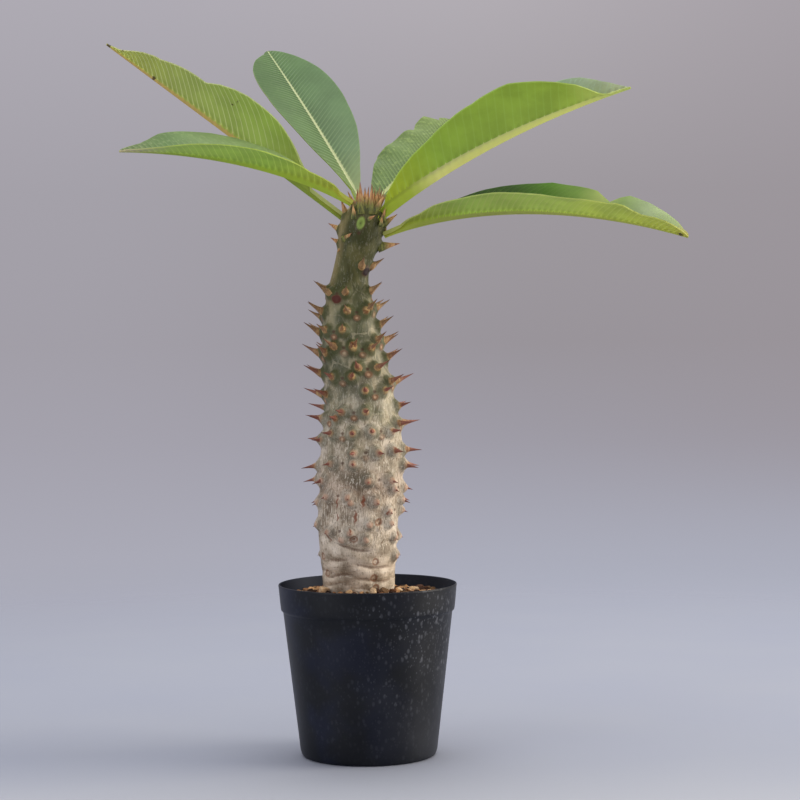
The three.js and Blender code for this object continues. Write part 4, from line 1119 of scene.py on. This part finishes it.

# %% [markdown]
# The leaves are long, leathery and folded up along the rib, each with a short pale stalk. Each row
# below describes one leaf: its heading and rise at the tip, how it rolls and folds from foot to
# tip, how its blade tapers, and what each margin gains or loses along the way, because no real leaf
# is as even as a formula. Each face has rows of share, red, green and blue from foot to tip, for
# the blade and for the rib.

# %% Leaves
# The under faces are painted brighter than the leaf itself, as painted light of their glow.
PLAIN_FACE = dict(left=(255, 255, 255), glint_fleck=0.05, reach=1, sheen=0.4)
BACK_UNDER = dict(
    blade=[(0, 196, 210, 100), (0.3, 173, 190, 93), (1, 183, 195, 98)],
    rib=[(0, 221, 225, 124)], vein=(206, 220, 130), clear=0.55,
)
LEAVES = [
    dict(
        name="leaf_far_left", length=178.5, half_width=30, heading=171, rise=36.5, roll=(28, 18),
        fold=(44, 36), stalk=0.26, base_taper=0.68, tip_taper=1.1, wave=(1.6, 2.4, 0.2), pitch=(5.4, 3.2),
        slant=(0.75, 0.75),
        trim_left=[
            (0.15, 0), (0.2, -2.5), (0.225, -3.2), (0.3, -1.8), (0.375, 0.2), (0.475, 3.2), (0.525, 2.6),
            (0.575, 0), (0.625, -4.8), (0.65, -4.2), (0.7, -3.1), (0.8, -1), (0.825, 1), (0.865, 2.5),
            (0.9, 2.1), (0.95, -0.5), (1, 0),
        ],
        trim_right=[(0, 0), (0.45, 2), (0.62, -2), (0.8, 1), (1, 0)],
        spots=[
            (0.8, 0.06, 1.2), (0.935, 0.9, 0.9), (0.5, 0.74, 1.7), (0.515, 0.62, 1.3), (0.53, 0.84, 1.5),
            (0.99, 0, 1.5),
        ],
        under=dict(
            blade=[(0, 153, 158, 36), (0.35, 199, 219, 113), (0.7, 198, 207, 116), (1, 222, 219, 109)],
            rib=[(0, 160, 176, 70), (0.3, 150, 168, 72), (0.45, 212, 182, 118), (1, 206, 176, 112)],
            vein=(246, 248, 203), clear=0.62,
        ),
        upper=dict(
            blade=[(0, 180, 191, 120), (0.4, 135, 164, 105), (1, 126, 153, 92)],
            rib=[(0, 245, 243, 186)],
            vein=(211, 220, 163), clear=0.42, glint_fleck=0.25,
        ),
    ),
    dict(
        name="leaf_low_left", length=140.5, half_width=26, heading=195, rise=-1.5, roll=(-8, -14.5),
        fold=(39, 27), stalk=0.08, base_taper=0.97, tip_taper=0.78, wave=(1, 2, 0.6), pitch=(4.2, 3.4),
        slant=(0.45, 0.45),
        trim_left=[
            (0.05, 0), (0.11, 1.2), (0.175, -0.9), (0.235, -3.3), (0.35, 0.2), (0.45, 3), (0.5, 2.9),
            (0.575, 0), (0.675, -3), (0.775, -2.2), (0.85, -1.6), (0.9, 0.4), (0.95, 0), (1, 0),
        ],
        trim_right=[
            (0, 0), (0.3, 1), (0.425, 2), (0.5, 5), (0.6, 5.6), (0.7, 3.1), (0.825, 0.5), (0.875, -3.4),
            (0.91, -4.5), (0.95, -2.5), (1, 0),
        ],
        spots=[],
        under=dict(
            blade=[(0, 216, 206, 83), (0.4, 188, 217, 95), (0.8, 201, 227, 113), (1, 243, 211, 218)],
            rib=[(0, 196, 214, 84), (0.4, 186, 206, 76), (0.8, 160, 180, 84), (1, 190, 190, 130)],
            vein=(246, 255, 147), clear=0.35,
        ),
        upper=dict(
            blade=[(0, 181, 203, 128), (0.6, 161, 185, 131), (0.8, 114, 147, 86), (1, 121, 144, 84)],
            rib=[(0, 217, 228, 157)],
            vein=(184, 203, 149), clear=0.42, glint_fleck=0.4,
        ),
    ),
    dict(
        name="leaf_back_left", length=163, half_width=27, heading=116, rise=35, roll=(-6, -14),
        fold=(27, 11.5), stalk=0.13, base_taper=0.96, tip_taper=0.68, wave=(0.6, 2, 0.1),
        pitch=(3.6, 3.1), slant=(0.5, 0.85),
        trim_left=[
            (0, 0), (0.12, -0.5), (0.225, -3.2), (0.35, -3.7), (0.5, -4.9), (0.65, -5.4), (0.75, -3.5),
            (0.85, -1.4), (0.925, -1.3), (0.975, -3), (1, 0),
        ],
        trim_right=[
            (0, 0), (0.12, 1), (0.2, -0.3), (0.4, -0.1), (0.525, -1.5), (0.65, -1.4), (0.8, -0.3),
            (0.95, -1), (1, 0),
        ],
        spots=[],
        under=BACK_UNDER,
        upper=dict(
            blade=[(0, 199, 210, 158), (0.3, 137, 167, 124), (0.8, 107, 146, 89), (1, 106, 145, 80)],
            rib=[(0, 236, 240, 196), (0.7, 226, 234, 186), (1, 210, 224, 170)],
            # Painted shade: the left half of this face is darkened.
            vein=(172, 197, 149), clear=0.5, left=(208, 219, 176), glint_fleck=0.06, reach=0.5,
        ),
    ),
    dict(
        name="leaf_back_right", length=122, half_width=21.7, heading=68, rise=28.5, roll=(6, 11),
        fold=(23.6, 17.7), stalk=0.1, base_taper=0.64, tip_taper=0.47, wave=(1.2, 5, 0.35),
        pitch=(3.3, 2.9), slant=(0.9, 0.9),
        trim_left=[
            (0, 0), (0.175, -1.1), (0.3, 0), (0.44, 2.1), (0.5, 0.1), (0.55, -0.6), (0.62, -0.3),
            (0.7, -2.2), (0.75, -3.3), (0.775, -4.6), (0.8, -2.9), (0.84, -0.5), (0.9, 0.8), (0.925, 1.6),
            (0.94, -3), (0.95, -6.4), (0.975, -1.3), (1, 0),
        ],
        trim_right=[(0, 0), (0.3, 0.5), (0.5, 1.5), (0.62, -2), (0.7, 1), (0.85, 1), (1, 0)],
        spots=[],
        under=BACK_UNDER,
        upper=dict(
            blade=[(0, 122, 151, 83), (0.5, 123, 152, 81), (1, 142, 164, 92)],
            rib=[(0, 220, 227, 168)],
            vein=(172, 197, 117), clear=0.5, glint_fleck=0.6, reach=0.7,
        ),
    ),
    dict(
        name="leaf_high_right", length=167, half_width=33, heading=-25.5, rise=13.5, roll=(-32, 22),
        fold=(62, 56), stalk=0.02, base_taper=1.22, tip_taper=1.04, wave=(1, 1.6, 0.5), pitch=(5.6, 4.4),
        slant=(0.42, 0.42),
        trim_left=[
            (0, 0), (0.4, 2), (0.7, 3), (0.75, 2.2), (0.825, 0.4), (0.85, -0.9), (0.9, -2.4),
            (0.95, -1.8), (1, 0),
        ],
        trim_right=[
            (0, 0), (0.075, 3), (0.15, 1.8), (0.225, -0.4), (0.3, -3), (0.4, -4.3), (0.5, -3.9),
            (0.575, -0.6), (0.65, 3.7), (0.75, 4.8), (0.8, 4.2), (0.85, 2), (0.875, -2.3), (0.9, -8.4),
            (0.925, -9.2), (0.95, -6.3), (0.975, -2.7), (1, 0),
        ],
        spots=[],
        under=dict(
            blade=[(0, 240, 248, 51), (0.3, 200, 231, 93), (0.8, 210, 230, 106), (1, 255, 247, 179)],
            rib=[
                (0, 176, 196, 52), (0.14, 196, 210, 72), (0.26, 252, 246, 172), (0.8, 250, 246, 172),
                (1, 210, 220, 140),
            ],
            vein=(218, 245, 141), clear=0.22, reach=2.1,
        ),
        upper=dict(
            blade=[(0, 131, 153, 100), (0.7, 129, 162, 129), (1, 198, 203, 177)],
            rib=[(0, 230, 238, 175)],
            vein=(177, 198, 182), clear=0.42, glint_fleck=0.4,
        ),
    ),
    dict(
        name="leaf_low_right", length=181, half_width=29, heading=-14.5, rise=-18.4, roll=(8, 8),
        fold=(40.5, 32.5), stalk=0.09, base_taper=0.8, tip_taper=0.6, wave=(1.4, 2.6, 0.15),
        pitch=(3.8, 3.2), slant=(0.42, 0.42),
        trim_left=[
            (0, 0), (0.25, -0.4), (0.35, 1.1), (0.45, 5.6), (0.525, 7.1), (0.575, 3.4), (0.65, -1.1),
            (0.675, -2.7), (0.7, -7.7), (0.725, -11.9), (0.75, -3.3), (0.775, 2.7), (0.84, 5.1),
            (0.9, 3.9), (0.95, 0.2), (0.975, -2.1), (1, 0),
        ],
        trim_right=[
            (0.05, 0), (0.1, 0.2), (0.14, -0.8), (0.2, 2.6), (0.25, 3.4), (0.325, 2.1), (0.375, -0.1),
            (0.45, -2.7), (0.5, -2), (0.55, 0.1), (0.675, 0.3), (0.75, -3.3), (0.775, -0.8), (0.8, -1.5),
            (0.825, -5.8), (0.85, -7.3), (0.875, -3.8), (0.9, 0.9), (0.93, 4.6), (0.95, 4.6),
            (0.975, 2.5), (1, 0),
        ],
        spots=[(0.665, -0.55, 0.9), (0.975, -0.15, 1.6)],
        under=dict(
            blade=[(0, 181, 180, 29), (0.3, 222, 255, 111), (0.6, 234, 250, 119), (1, 198, 194, 80)],
            rib=[(0, 204, 214, 92), (0.12, 190, 200, 90), (0.3, 184, 190, 106), (1, 196, 198, 104)],
            vein=(255, 255, 180), clear=0.3,
        ),
        upper=dict(
            # Painted shade: this face is painted dark green near its foot, where the fold keeps the light
            # off.
            blade=[
                (0, 49, 78, 11), (0.4, 54, 88, 14), (0.52, 86, 130, 24), (0.62, 130, 160, 78),
                (0.7, 178, 190, 120), (0.76, 152, 176, 112), (0.84, 177, 194, 157), (0.95, 180, 198, 147),
                (1, 215, 198, 114),
            ],
            rib=[(0, 200, 212, 150)],
            vein=(163, 191, 121), clear=0.42, sheen=0.05,
        ),
    ),
]
print("the longest leaf is", max(leaf["length"] for leaf in LEAVES), "mm long")

# %% [markdown]
# A leaf's middle line is walked step by step, turning a little at each step. At each station the
# blade spreads left and right, lifted by its fold, and waves towards its margin. Upper and under
# face are one closed shell, which is thin in the blade and thick under the rib. The grid of points
# is closer at the rib.

# %% Middle line of a leaf
LEAF_STEPS = 60


def leaf_line(leaf):
    """Stations along the leaf's middle line, with its left side and its upper face at each."""
    foot, first_heading, first_rise = LEAF_FEET[leaf["name"]]
    s = np.arange(LEAF_STEPS + 1) / LEAF_STEPS
    heading = np.radians(mix(first_heading, leaf["heading"], s))
    rise = np.radians(mix(first_rise, leaf["rise"], s**0.8))
    tangent = direction(heading, rise)
    walked = np.cumsum(tangent[:-1], axis=0) * leaf["length"] / LEAF_STEPS
    place = np.array(foot) + np.concatenate([np.zeros((1, 3)), walked])
    side = unit(np.cross(UP, tangent))
    upper = np.cross(tangent, side)
    roll = np.radians(mix(*leaf["roll"], s))[:, None]
    left = side * np.cos(roll) + upper * np.sin(roll)
    face = upper * np.cos(roll) - side * np.sin(roll)
    return np.concatenate([s[:, None], place, left, face], axis=1)


tips = [leaf_line(leaf)[-1, 3] for leaf in LEAVES]
print("the leaf tips are", round(min(tips)), "to", round(max(tips)), "mm above the floor")

# %% Width, thickness and veins of a leaf
BLADE_THICKNESS = 0.6
STALK_HALF_WIDTH = 2.5
STALK_THICKNESS = 4.0
RIB_DEPTH = (4.0, 1.0)


def leaf_half_width(leaf, s, trim):
    """A narrow stalk, the widest place past half way, a pointed tip, and what the margin gains or loses."""
    bare = leaf["stalk"] * 0.55
    base, tip = leaf["base_taper"], leaf["tip_taper"]
    u = np.clip((s - bare) / (1 - bare), 0, 1)
    widest = base / (base + tip)
    spread = u**base * (1 - u) ** tip / (widest**base * (1 - widest) ** tip)
    stalk = STALK_HALF_WIDTH * (1 - smooth(0.7, 1, s))
    return np.maximum(np.maximum(leaf["half_width"] * spread, stalk) + np.interp(s, *zip(*trim)), 0.5)


def leaf_depth(leaf, s, offset, rib_half):
    """The thickness of the leaf, from its upper face down."""
    edge = mix(STALK_THICKNESS * 0.55, BLADE_THICKNESS, smooth(0.3, 1.3, s / leaf["stalk"]))
    rib = np.maximum(edge, mix(*RIB_DEPTH, s**0.7))
    near = np.clip(1 - (offset / (rib_half * 1.25)) ** 2, 0, 1)
    return mix(edge, rib, near)


def vein_count(leaf, s, offset):
    """Counts the side veins from the foot. They stand closer towards the tip and slant forward."""
    wide, narrow = leaf["pitch"]
    pitch = mix(wide, narrow, s)
    count = leaf["length"] / (wide - narrow) * np.log(wide / pitch)
    slant = np.where(offset > 0, leaf["slant"][0], leaf["slant"][1])
    return count - slant * np.abs(offset) / pitch


def spot_field(leaf, s, across, half):
    """Below 1 inside a brown spot."""
    best = np.full((len(s), across.size), 9.0)
    for at, side, size in leaf["spots"]:
        along = (s - at) * leaf["length"]
        best = np.minimum(best, np.hypot(along, (across - side) * half) / size)
    return best


print("veins a side on the last leaf:", round(float(vein_count(LEAVES[-1], 1.0, 0.0))))

# %% Leaf blade
LEAF_STATIONS = 300
LEAF_COLUMNS = 13
RIB_HALF_WIDTH = (2.3, 0.7)
RIB_SHARE = 0.45
CLOSER_AT_RIB = 1.4
MARGIN_LAG = 1.9


def leaf_grid(leaf):
    """The points of the upper and the under face, and the fields they carry."""
    s = np.linspace(0, 1, LEAF_STATIONS)[:, None]
    row = curve(leaf_line(leaf), s[:, 0])
    place, left, face = row[:, None, 0:3], unit(row[:, None, 3:6]), unit(row[:, None, 6:9])
    across = np.linspace(-1, 1, 2 * LEAF_COLUMNS + 1)
    across = np.sign(across) * np.abs(across) ** CLOSER_AT_RIB
    left_half = leaf_half_width(leaf, s, leaf["trim_left"])
    right_half = leaf_half_width(leaf, s, leaf["trim_right"])
    half = np.where(across < 0, right_half, left_half)
    offset = across * half
    t = np.abs(across)
    fold = np.radians(mix(*leaf["fold"], s)) * (1 - 0.3 * t) * smooth(0, leaf["stalk"], s)
    depth, count, phase = leaf["wave"]
    turn = 2 * math.pi * (count * s + phase) + np.where(offset > 0, MARGIN_LAG, 0)
    wave = depth * t**2 * np.sin(turn) * smooth(0.15, 0.4, s) * (1 - smooth(0.9, 1, s))
    lift = np.abs(offset) * np.sin(fold) + wave
    rib_half = np.minimum(mix(*RIB_HALF_WIDTH, s), half * RIB_SHARE)
    upper = place + left * (offset * np.cos(fold))[..., None] + face * lift[..., None]
    under = upper - face * leaf_depth(leaf, s, offset, rib_half)[..., None]
    fields = {
        "vein": vein_count(leaf, s, offset),
        "rib": np.abs(offset) / rib_half,
        "margin": (1 - t) * half,
        "share": s + 0 * offset,
        "spot": spot_field(leaf, s, across, half),
        "leftness": smooth(-0.05, 0.05, across) + 0 * s,
        "bladed": smooth(0.7 * leaf["stalk"], 1.8 * leaf["stalk"], s) + 0 * across,
    }
    return upper, under, fields


def leaf_faces():
    """Quads of the upper face, the under face and the margin between them, and which finish each wears."""
    columns = 2 * LEAF_COLUMNS + 1
    count = LEAF_STATIONS * columns
    last = count - columns
    quads = grid_faces(LEAF_STATIONS, columns, False)
    upper = [quad[::-1] for quad in quads]
    under = [[corner + count for corner in quad] for quad in quads]
    edge = []
    for a in range(0, last, columns):
        b = a + columns
        edge.append([a, b, b + count, a + count])
        edge.append([b + columns - 1, b - 1, b - 1 + count, b + columns - 1 + count])
    for k in range(columns - 1):
        edge.append([k, k + count, k + 1 + count, k + 1])
        edge.append([last + k + 1, last + k + 1 + count, last + k + count, last + k])
    wears = [0] * len(upper) + [1] * (len(under) + len(edge))
    return upper + under + edge, wears


faces, wears = leaf_faces()
print("a leaf has", len(faces), "faces")

# %% [markdown]
# Both faces of a leaf show the rib and its many straight side veins. The upper face is a soft blue-green
# with a waxy sheen, fine pale vein lines, and pale flecks that are painted glints. The under face is
# yellow-green and lets light through, so it glows where the lamp shines on the other side. A mix of a
# Principled and a Translucent shader does that, and the under faces are also painted brighter than the
# leaf is, as painted light. Some faces have a half or a foot painted darker as shade, and the thin pale
# line along the margin is partly painted highlight.

# %% Leaf finish
GLOW = 0.42
FACES = {
    # how wide a vein's line is, how far from the rib it fades, and how high it stands
    "upper": {"line": 0.26, "fade": 14.0, "bump": 0.5},
    "under": {"line": 0.20, "fade": 60.0, "bump": 0.35},
}


def along_leaf(paint, stops):
    """A colour that changes from foot to tip. A single stop gives one colour all along."""
    return paint.ramp(paint.field("share"), stops if len(stops) > 1 else stops * 2)


def leaf_face(chart, look):
    """The recipe of one face of one leaf."""

    def recipe(paint):
        rib, margin, bladed = paint.field("rib"), paint.field("margin"), paint.field("bladed")
        cloud = paint.noise(paint.place(), 60, 3)
        fine = paint.noise(paint.place(), 900, 3)
        turn = (paint.field("vein") + (cloud - 0.5) * 0.35) * (2 * math.pi)
        swell = paint.node("Math", {"operation": "COSINE"}, {0: turn})
        vein = paint.step(swell, 1 - look["line"], 1.0) * bladed
        fading = 1 - paint.step(rib, look["fade"] * 0.2, look["fade"]) * 0.8
        # Painted glints: pale flecks of vein colour stand for the glints of the waxy sheen.
        glint_fleck = paint.step(paint.noise(paint.place((1, 1, 0.6)), 420, 4), 0.50, 0.72) * chart["glint_fleck"]
        wedge = paint.step(swell, 0.3, -0.7) * (1 - paint.step(rib, 1.4, 4.5)) * bladed
        pale = 1 - paint.step(rib - vein * 0.35, chart["reach"] - 0.2, chart["reach"] + 0.2)
        dead = 1 - paint.step(paint.field("spot") + (fine - 0.5) * 1.2, 0.7, 1.1)
        base = along_leaf(paint, chart["blade"])
        # The chart's left colour darkens the left half of a face, as painted shade.
        left = paint.tint(1.0, base, chart["left"], "MULTIPLY")
        base = paint.tint(paint.field("leftness"), base, left)
        shadier = paint.tint(1.0, base, (200, 206, 190), "MULTIPLY")
        blade = paint.coats(base, [
            (paint.step(cloud, 0.3, 0.7) * 0.4, shadier),
            (glint_fleck, chart["vein"]),
            (vein * chart["clear"] * fading, chart["vein"]),
            # A thin pale line along the margin: partly its paler edge, partly painted highlight.
            ((1 - paint.step(margin, 0.1, 0.6)) * 0.35, chart["vein"]),
            (wedge * 0.5, shadier),
            (pale * 0.95, along_leaf(paint, chart["rib"])),
            (dead * 0.85, (84, 66, 34)),
        ])
        height = swell * 0.35 * fading * bladed + fine * 0.3 + pale * 0.5 + glint_fleck * 0.8
        skin = paint.node("BsdfPrincipled", None, {
            "Base Color": blade,
            "Roughness": 0.46 + fine * 0.14,
            "Normal": paint.bump(height, look["bump"], 0.0006),
            "Specular IOR Level": chart["sheen"],
        })
        lit = paint.tint(1.0, blade, (250, 255, 150), "MULTIPLY")
        through = paint.node("BsdfTranslucent", None, {"Color": lit})
        return paint.surface(paint.node("MixShader", None, {0: GLOW, 1: skin, 2: through}))

    return recipe


for leaf in LEAVES:
    name = leaf["name"]
    upper, under, fields = leaf_grid(leaf)
    both = {key: np.concatenate([values, values]) for key, values in fields.items()}
    charts = {side: {**PLAIN_FACE, **leaf[side]} for side in FACES}
    finishes = [new_material(f"{name}_{side}", leaf_face(charts[side], FACES[side])) for side in FACES]
    blade = new_piece(name + "_blade", np.concatenate([upper, under]), faces, finishes, both, wears)
    blade.data.set_sharp_from_angle(angle=math.radians(60))
    settle(blade, "leaf", name)


# %% [markdown]
# The soil is a coarse mix for succulents: baked clay, pumice and fired loam, in grains of two to
# six millimetres. A ring-shaped fill carries them, with a hole for the stem. The grains are small
# rough stones, strewn by a rule that spreads them evenly, each with its own size, turn and colour.

# %% Soil
SOIL_LEVEL = 93.5
SOIL_RISE = 2.2
FILL_SIDES = 96
GAP = 0.35


def grit(paint):
    fine = paint.noise(paint.place(), 1400, 3)
    stops = [
        (0, 206, 160, 112), (0.20, 162, 118, 80), (0.38, 112, 76, 52), (0.56, 70, 48, 36),
        (0.74, 44, 34, 30), (0.86, 196, 156, 110), (1, 226, 198, 160),
    ]
    skin = paint.ramp(paint.field("pick"), stops)
    skin = paint.tint(paint.step(fine, 0.45, 0.7) * 0.45, skin, (84, 56, 38))
    relief = paint.bump(fine, 0.7, 0.0008)
    sockets = {"Base Color": skin, "Roughness": 0.93, "Normal": relief, "Specular IOR Level": 0.2}
    return paint.surface(paint.node("BsdfPrincipled", None, sockets))


grit_finish = new_material("grit", grit)


def inner_wall(height):
    return pot_wall(height) - POT["wall"] - GAP


def soil_fill():
    """Rings from the pot's floor out and up the wall, in over the top, and down the hole of the stem."""
    turns = np.arange(FILL_SIDES) * 2 * math.pi / FILL_SIDES
    floor_height = POT["foot_height"] + POT["wall"] + GAP
    edge = inner_wall(NECK - 3)
    outline = [(20, floor_height), (inner_wall(floor_height) - 2.2, floor_height)]
    outline += [(inner_wall(h), h) for h in (floor_height + 2.2, 30, 60, NECK - 3)]
    outline += [(edge, SOIL_LEVEL - 1), (edge - 1.5, SOIL_LEVEL)]
    outline += [(40, SOIL_LEVEL + 0.8), (32, SOIL_LEVEL + 1.2)]
    rings = list(lathe_points(outline, FILL_SIDES))
    for level in (SOIL_LEVEL + 1.6, 86, 74, 64, 58):
        hole = stem_point(np.full(FILL_SIDES, float(level)), turns)
        rings.append(hole + unit(hole - hole.mean(axis=0)) * 2 * GAP)
    return np.array(rings)


rings = soil_fill()
fill_fields = {"pick": np.full(rings.shape[0] * FILL_SIDES, 0.70)}
fill = new_piece("soil_fill", rings, stack_faces(len(rings), FILL_SIDES), [grit_finish], fill_fields)
settle(fill, "soil", "soil")

# %% Stones
DENTS = 7


def ball():
    """A small ball of triangles, as points and faces."""
    mesh = bpy.data.meshes.new("ball")
    work = bmesh.new()
    bmesh.ops.create_icosphere(work, subdivisions=2, radius=1.0)
    work.to_mesh(mesh)
    work.free()
    points = np.array([vertex.co for vertex in mesh.vertices])
    faces = np.array([face.vertices for face in mesh.polygons])
    bpy.data.meshes.remove(mesh)
    return points, faces


def grain_shape(ball_points, random):
    """A rough stone: the ball, dented along a few random directions, then stretched."""
    shape = ball_points.copy()
    for _ in range(DENTS):
        dent = direction(np.array(next(random) * 2 * math.pi), np.array((next(random) - 0.5) * math.pi))
        flat = 0.48 + 0.30 * next(random)
        over = np.maximum(shape @ dent - flat, 0)
        shape -= over[:, None] * dent * 0.95
    return shape * [1 + 0.35 * next(random), 0.85 + 0.3 * next(random), 0.7 + 0.3 * next(random)]


def turned(shape, random):
    """The stone, tipped over and spun round by random angles."""
    spin, tip = next(random) * 2 * math.pi, (next(random) - 0.5) * 1.4
    turn = Quaternion((0, 0, 1), spin) @ Quaternion((1, 0, 0), tip)
    return shape @ np.array(turn.to_matrix()).T


ball_points, ball_faces = ball()
print("a stone has", len(ball_faces), "faces")

# %% Grains
GRAIN_COUNT = 1250
GRAIN_RADIUS = (0.8, 3.1)
PALE = 0.95
HEAP = 3.4
INNER_RADIUS = 17.0
EVEN_STEP = 0.754877
CHUNKS = [
    # x, y, height, size of the largest stones
    (-25.6, -13.5, 98.4, 3.8),
    (-33.0, -4.0, 96.0, 2.8),
]


def strewn(random):
    """Places and sizes of the grains: spread evenly over the pot, and heaped a little round the stem."""
    wall_edge = inner_wall(NECK - 3)
    stem_centre = curve(STEM, SOIL_LEVEL)
    rows = [(np.array(row[:3]), row[3]) for row in CHUNKS]
    for k in range(GRAIN_COUNT):
        size = mix(*GRAIN_RADIUS, next(random) ** 2.2)
        out = math.sqrt(mix(INNER_RADIUS**2, (wall_edge - size * 0.9) ** 2, (k * EVEN_STEP) % 1.0))
        turn = math.radians(k * GOLDEN_ANGLE)
        place = np.array([out * math.cos(turn), out * math.sin(turn), 0])
        clear = math.hypot(*(place[:2] - stem_centre[:2])) - stem_centre[2]
        place[2] = SOIL_LEVEL + SOIL_RISE * (1 - out / wall_edge) + size * (0.15 + 0.35 * next(random)) - 0.6
        place[2] += HEAP * (1 - smooth(0, 9, clear))
        if clear > size * 0.55:
            rows.append((place, size))
    return rows


random = seeded_random(3)
grain_points, grain_faces, grain_pick = [], [], []
for place, size in strewn(random):
    shape = turned(grain_shape(ball_points, random), random) * size
    grain_faces += (ball_faces + len(grain_points) * len(ball_points)).tolist()
    grain_points.append(shape + place)
    grain_pick.append(np.full(len(ball_points), next(random)))
grain_pick[0][:] = PALE
grain_fields = {"pick": np.concatenate(grain_pick)}
grains = new_piece("soil_grains", np.concatenate(grain_points), grain_faces, [grit_finish], grain_fields)
grains.data.shade_flat()
settle(grains, "soil", "soil")
print(len(grain_points), "grains")
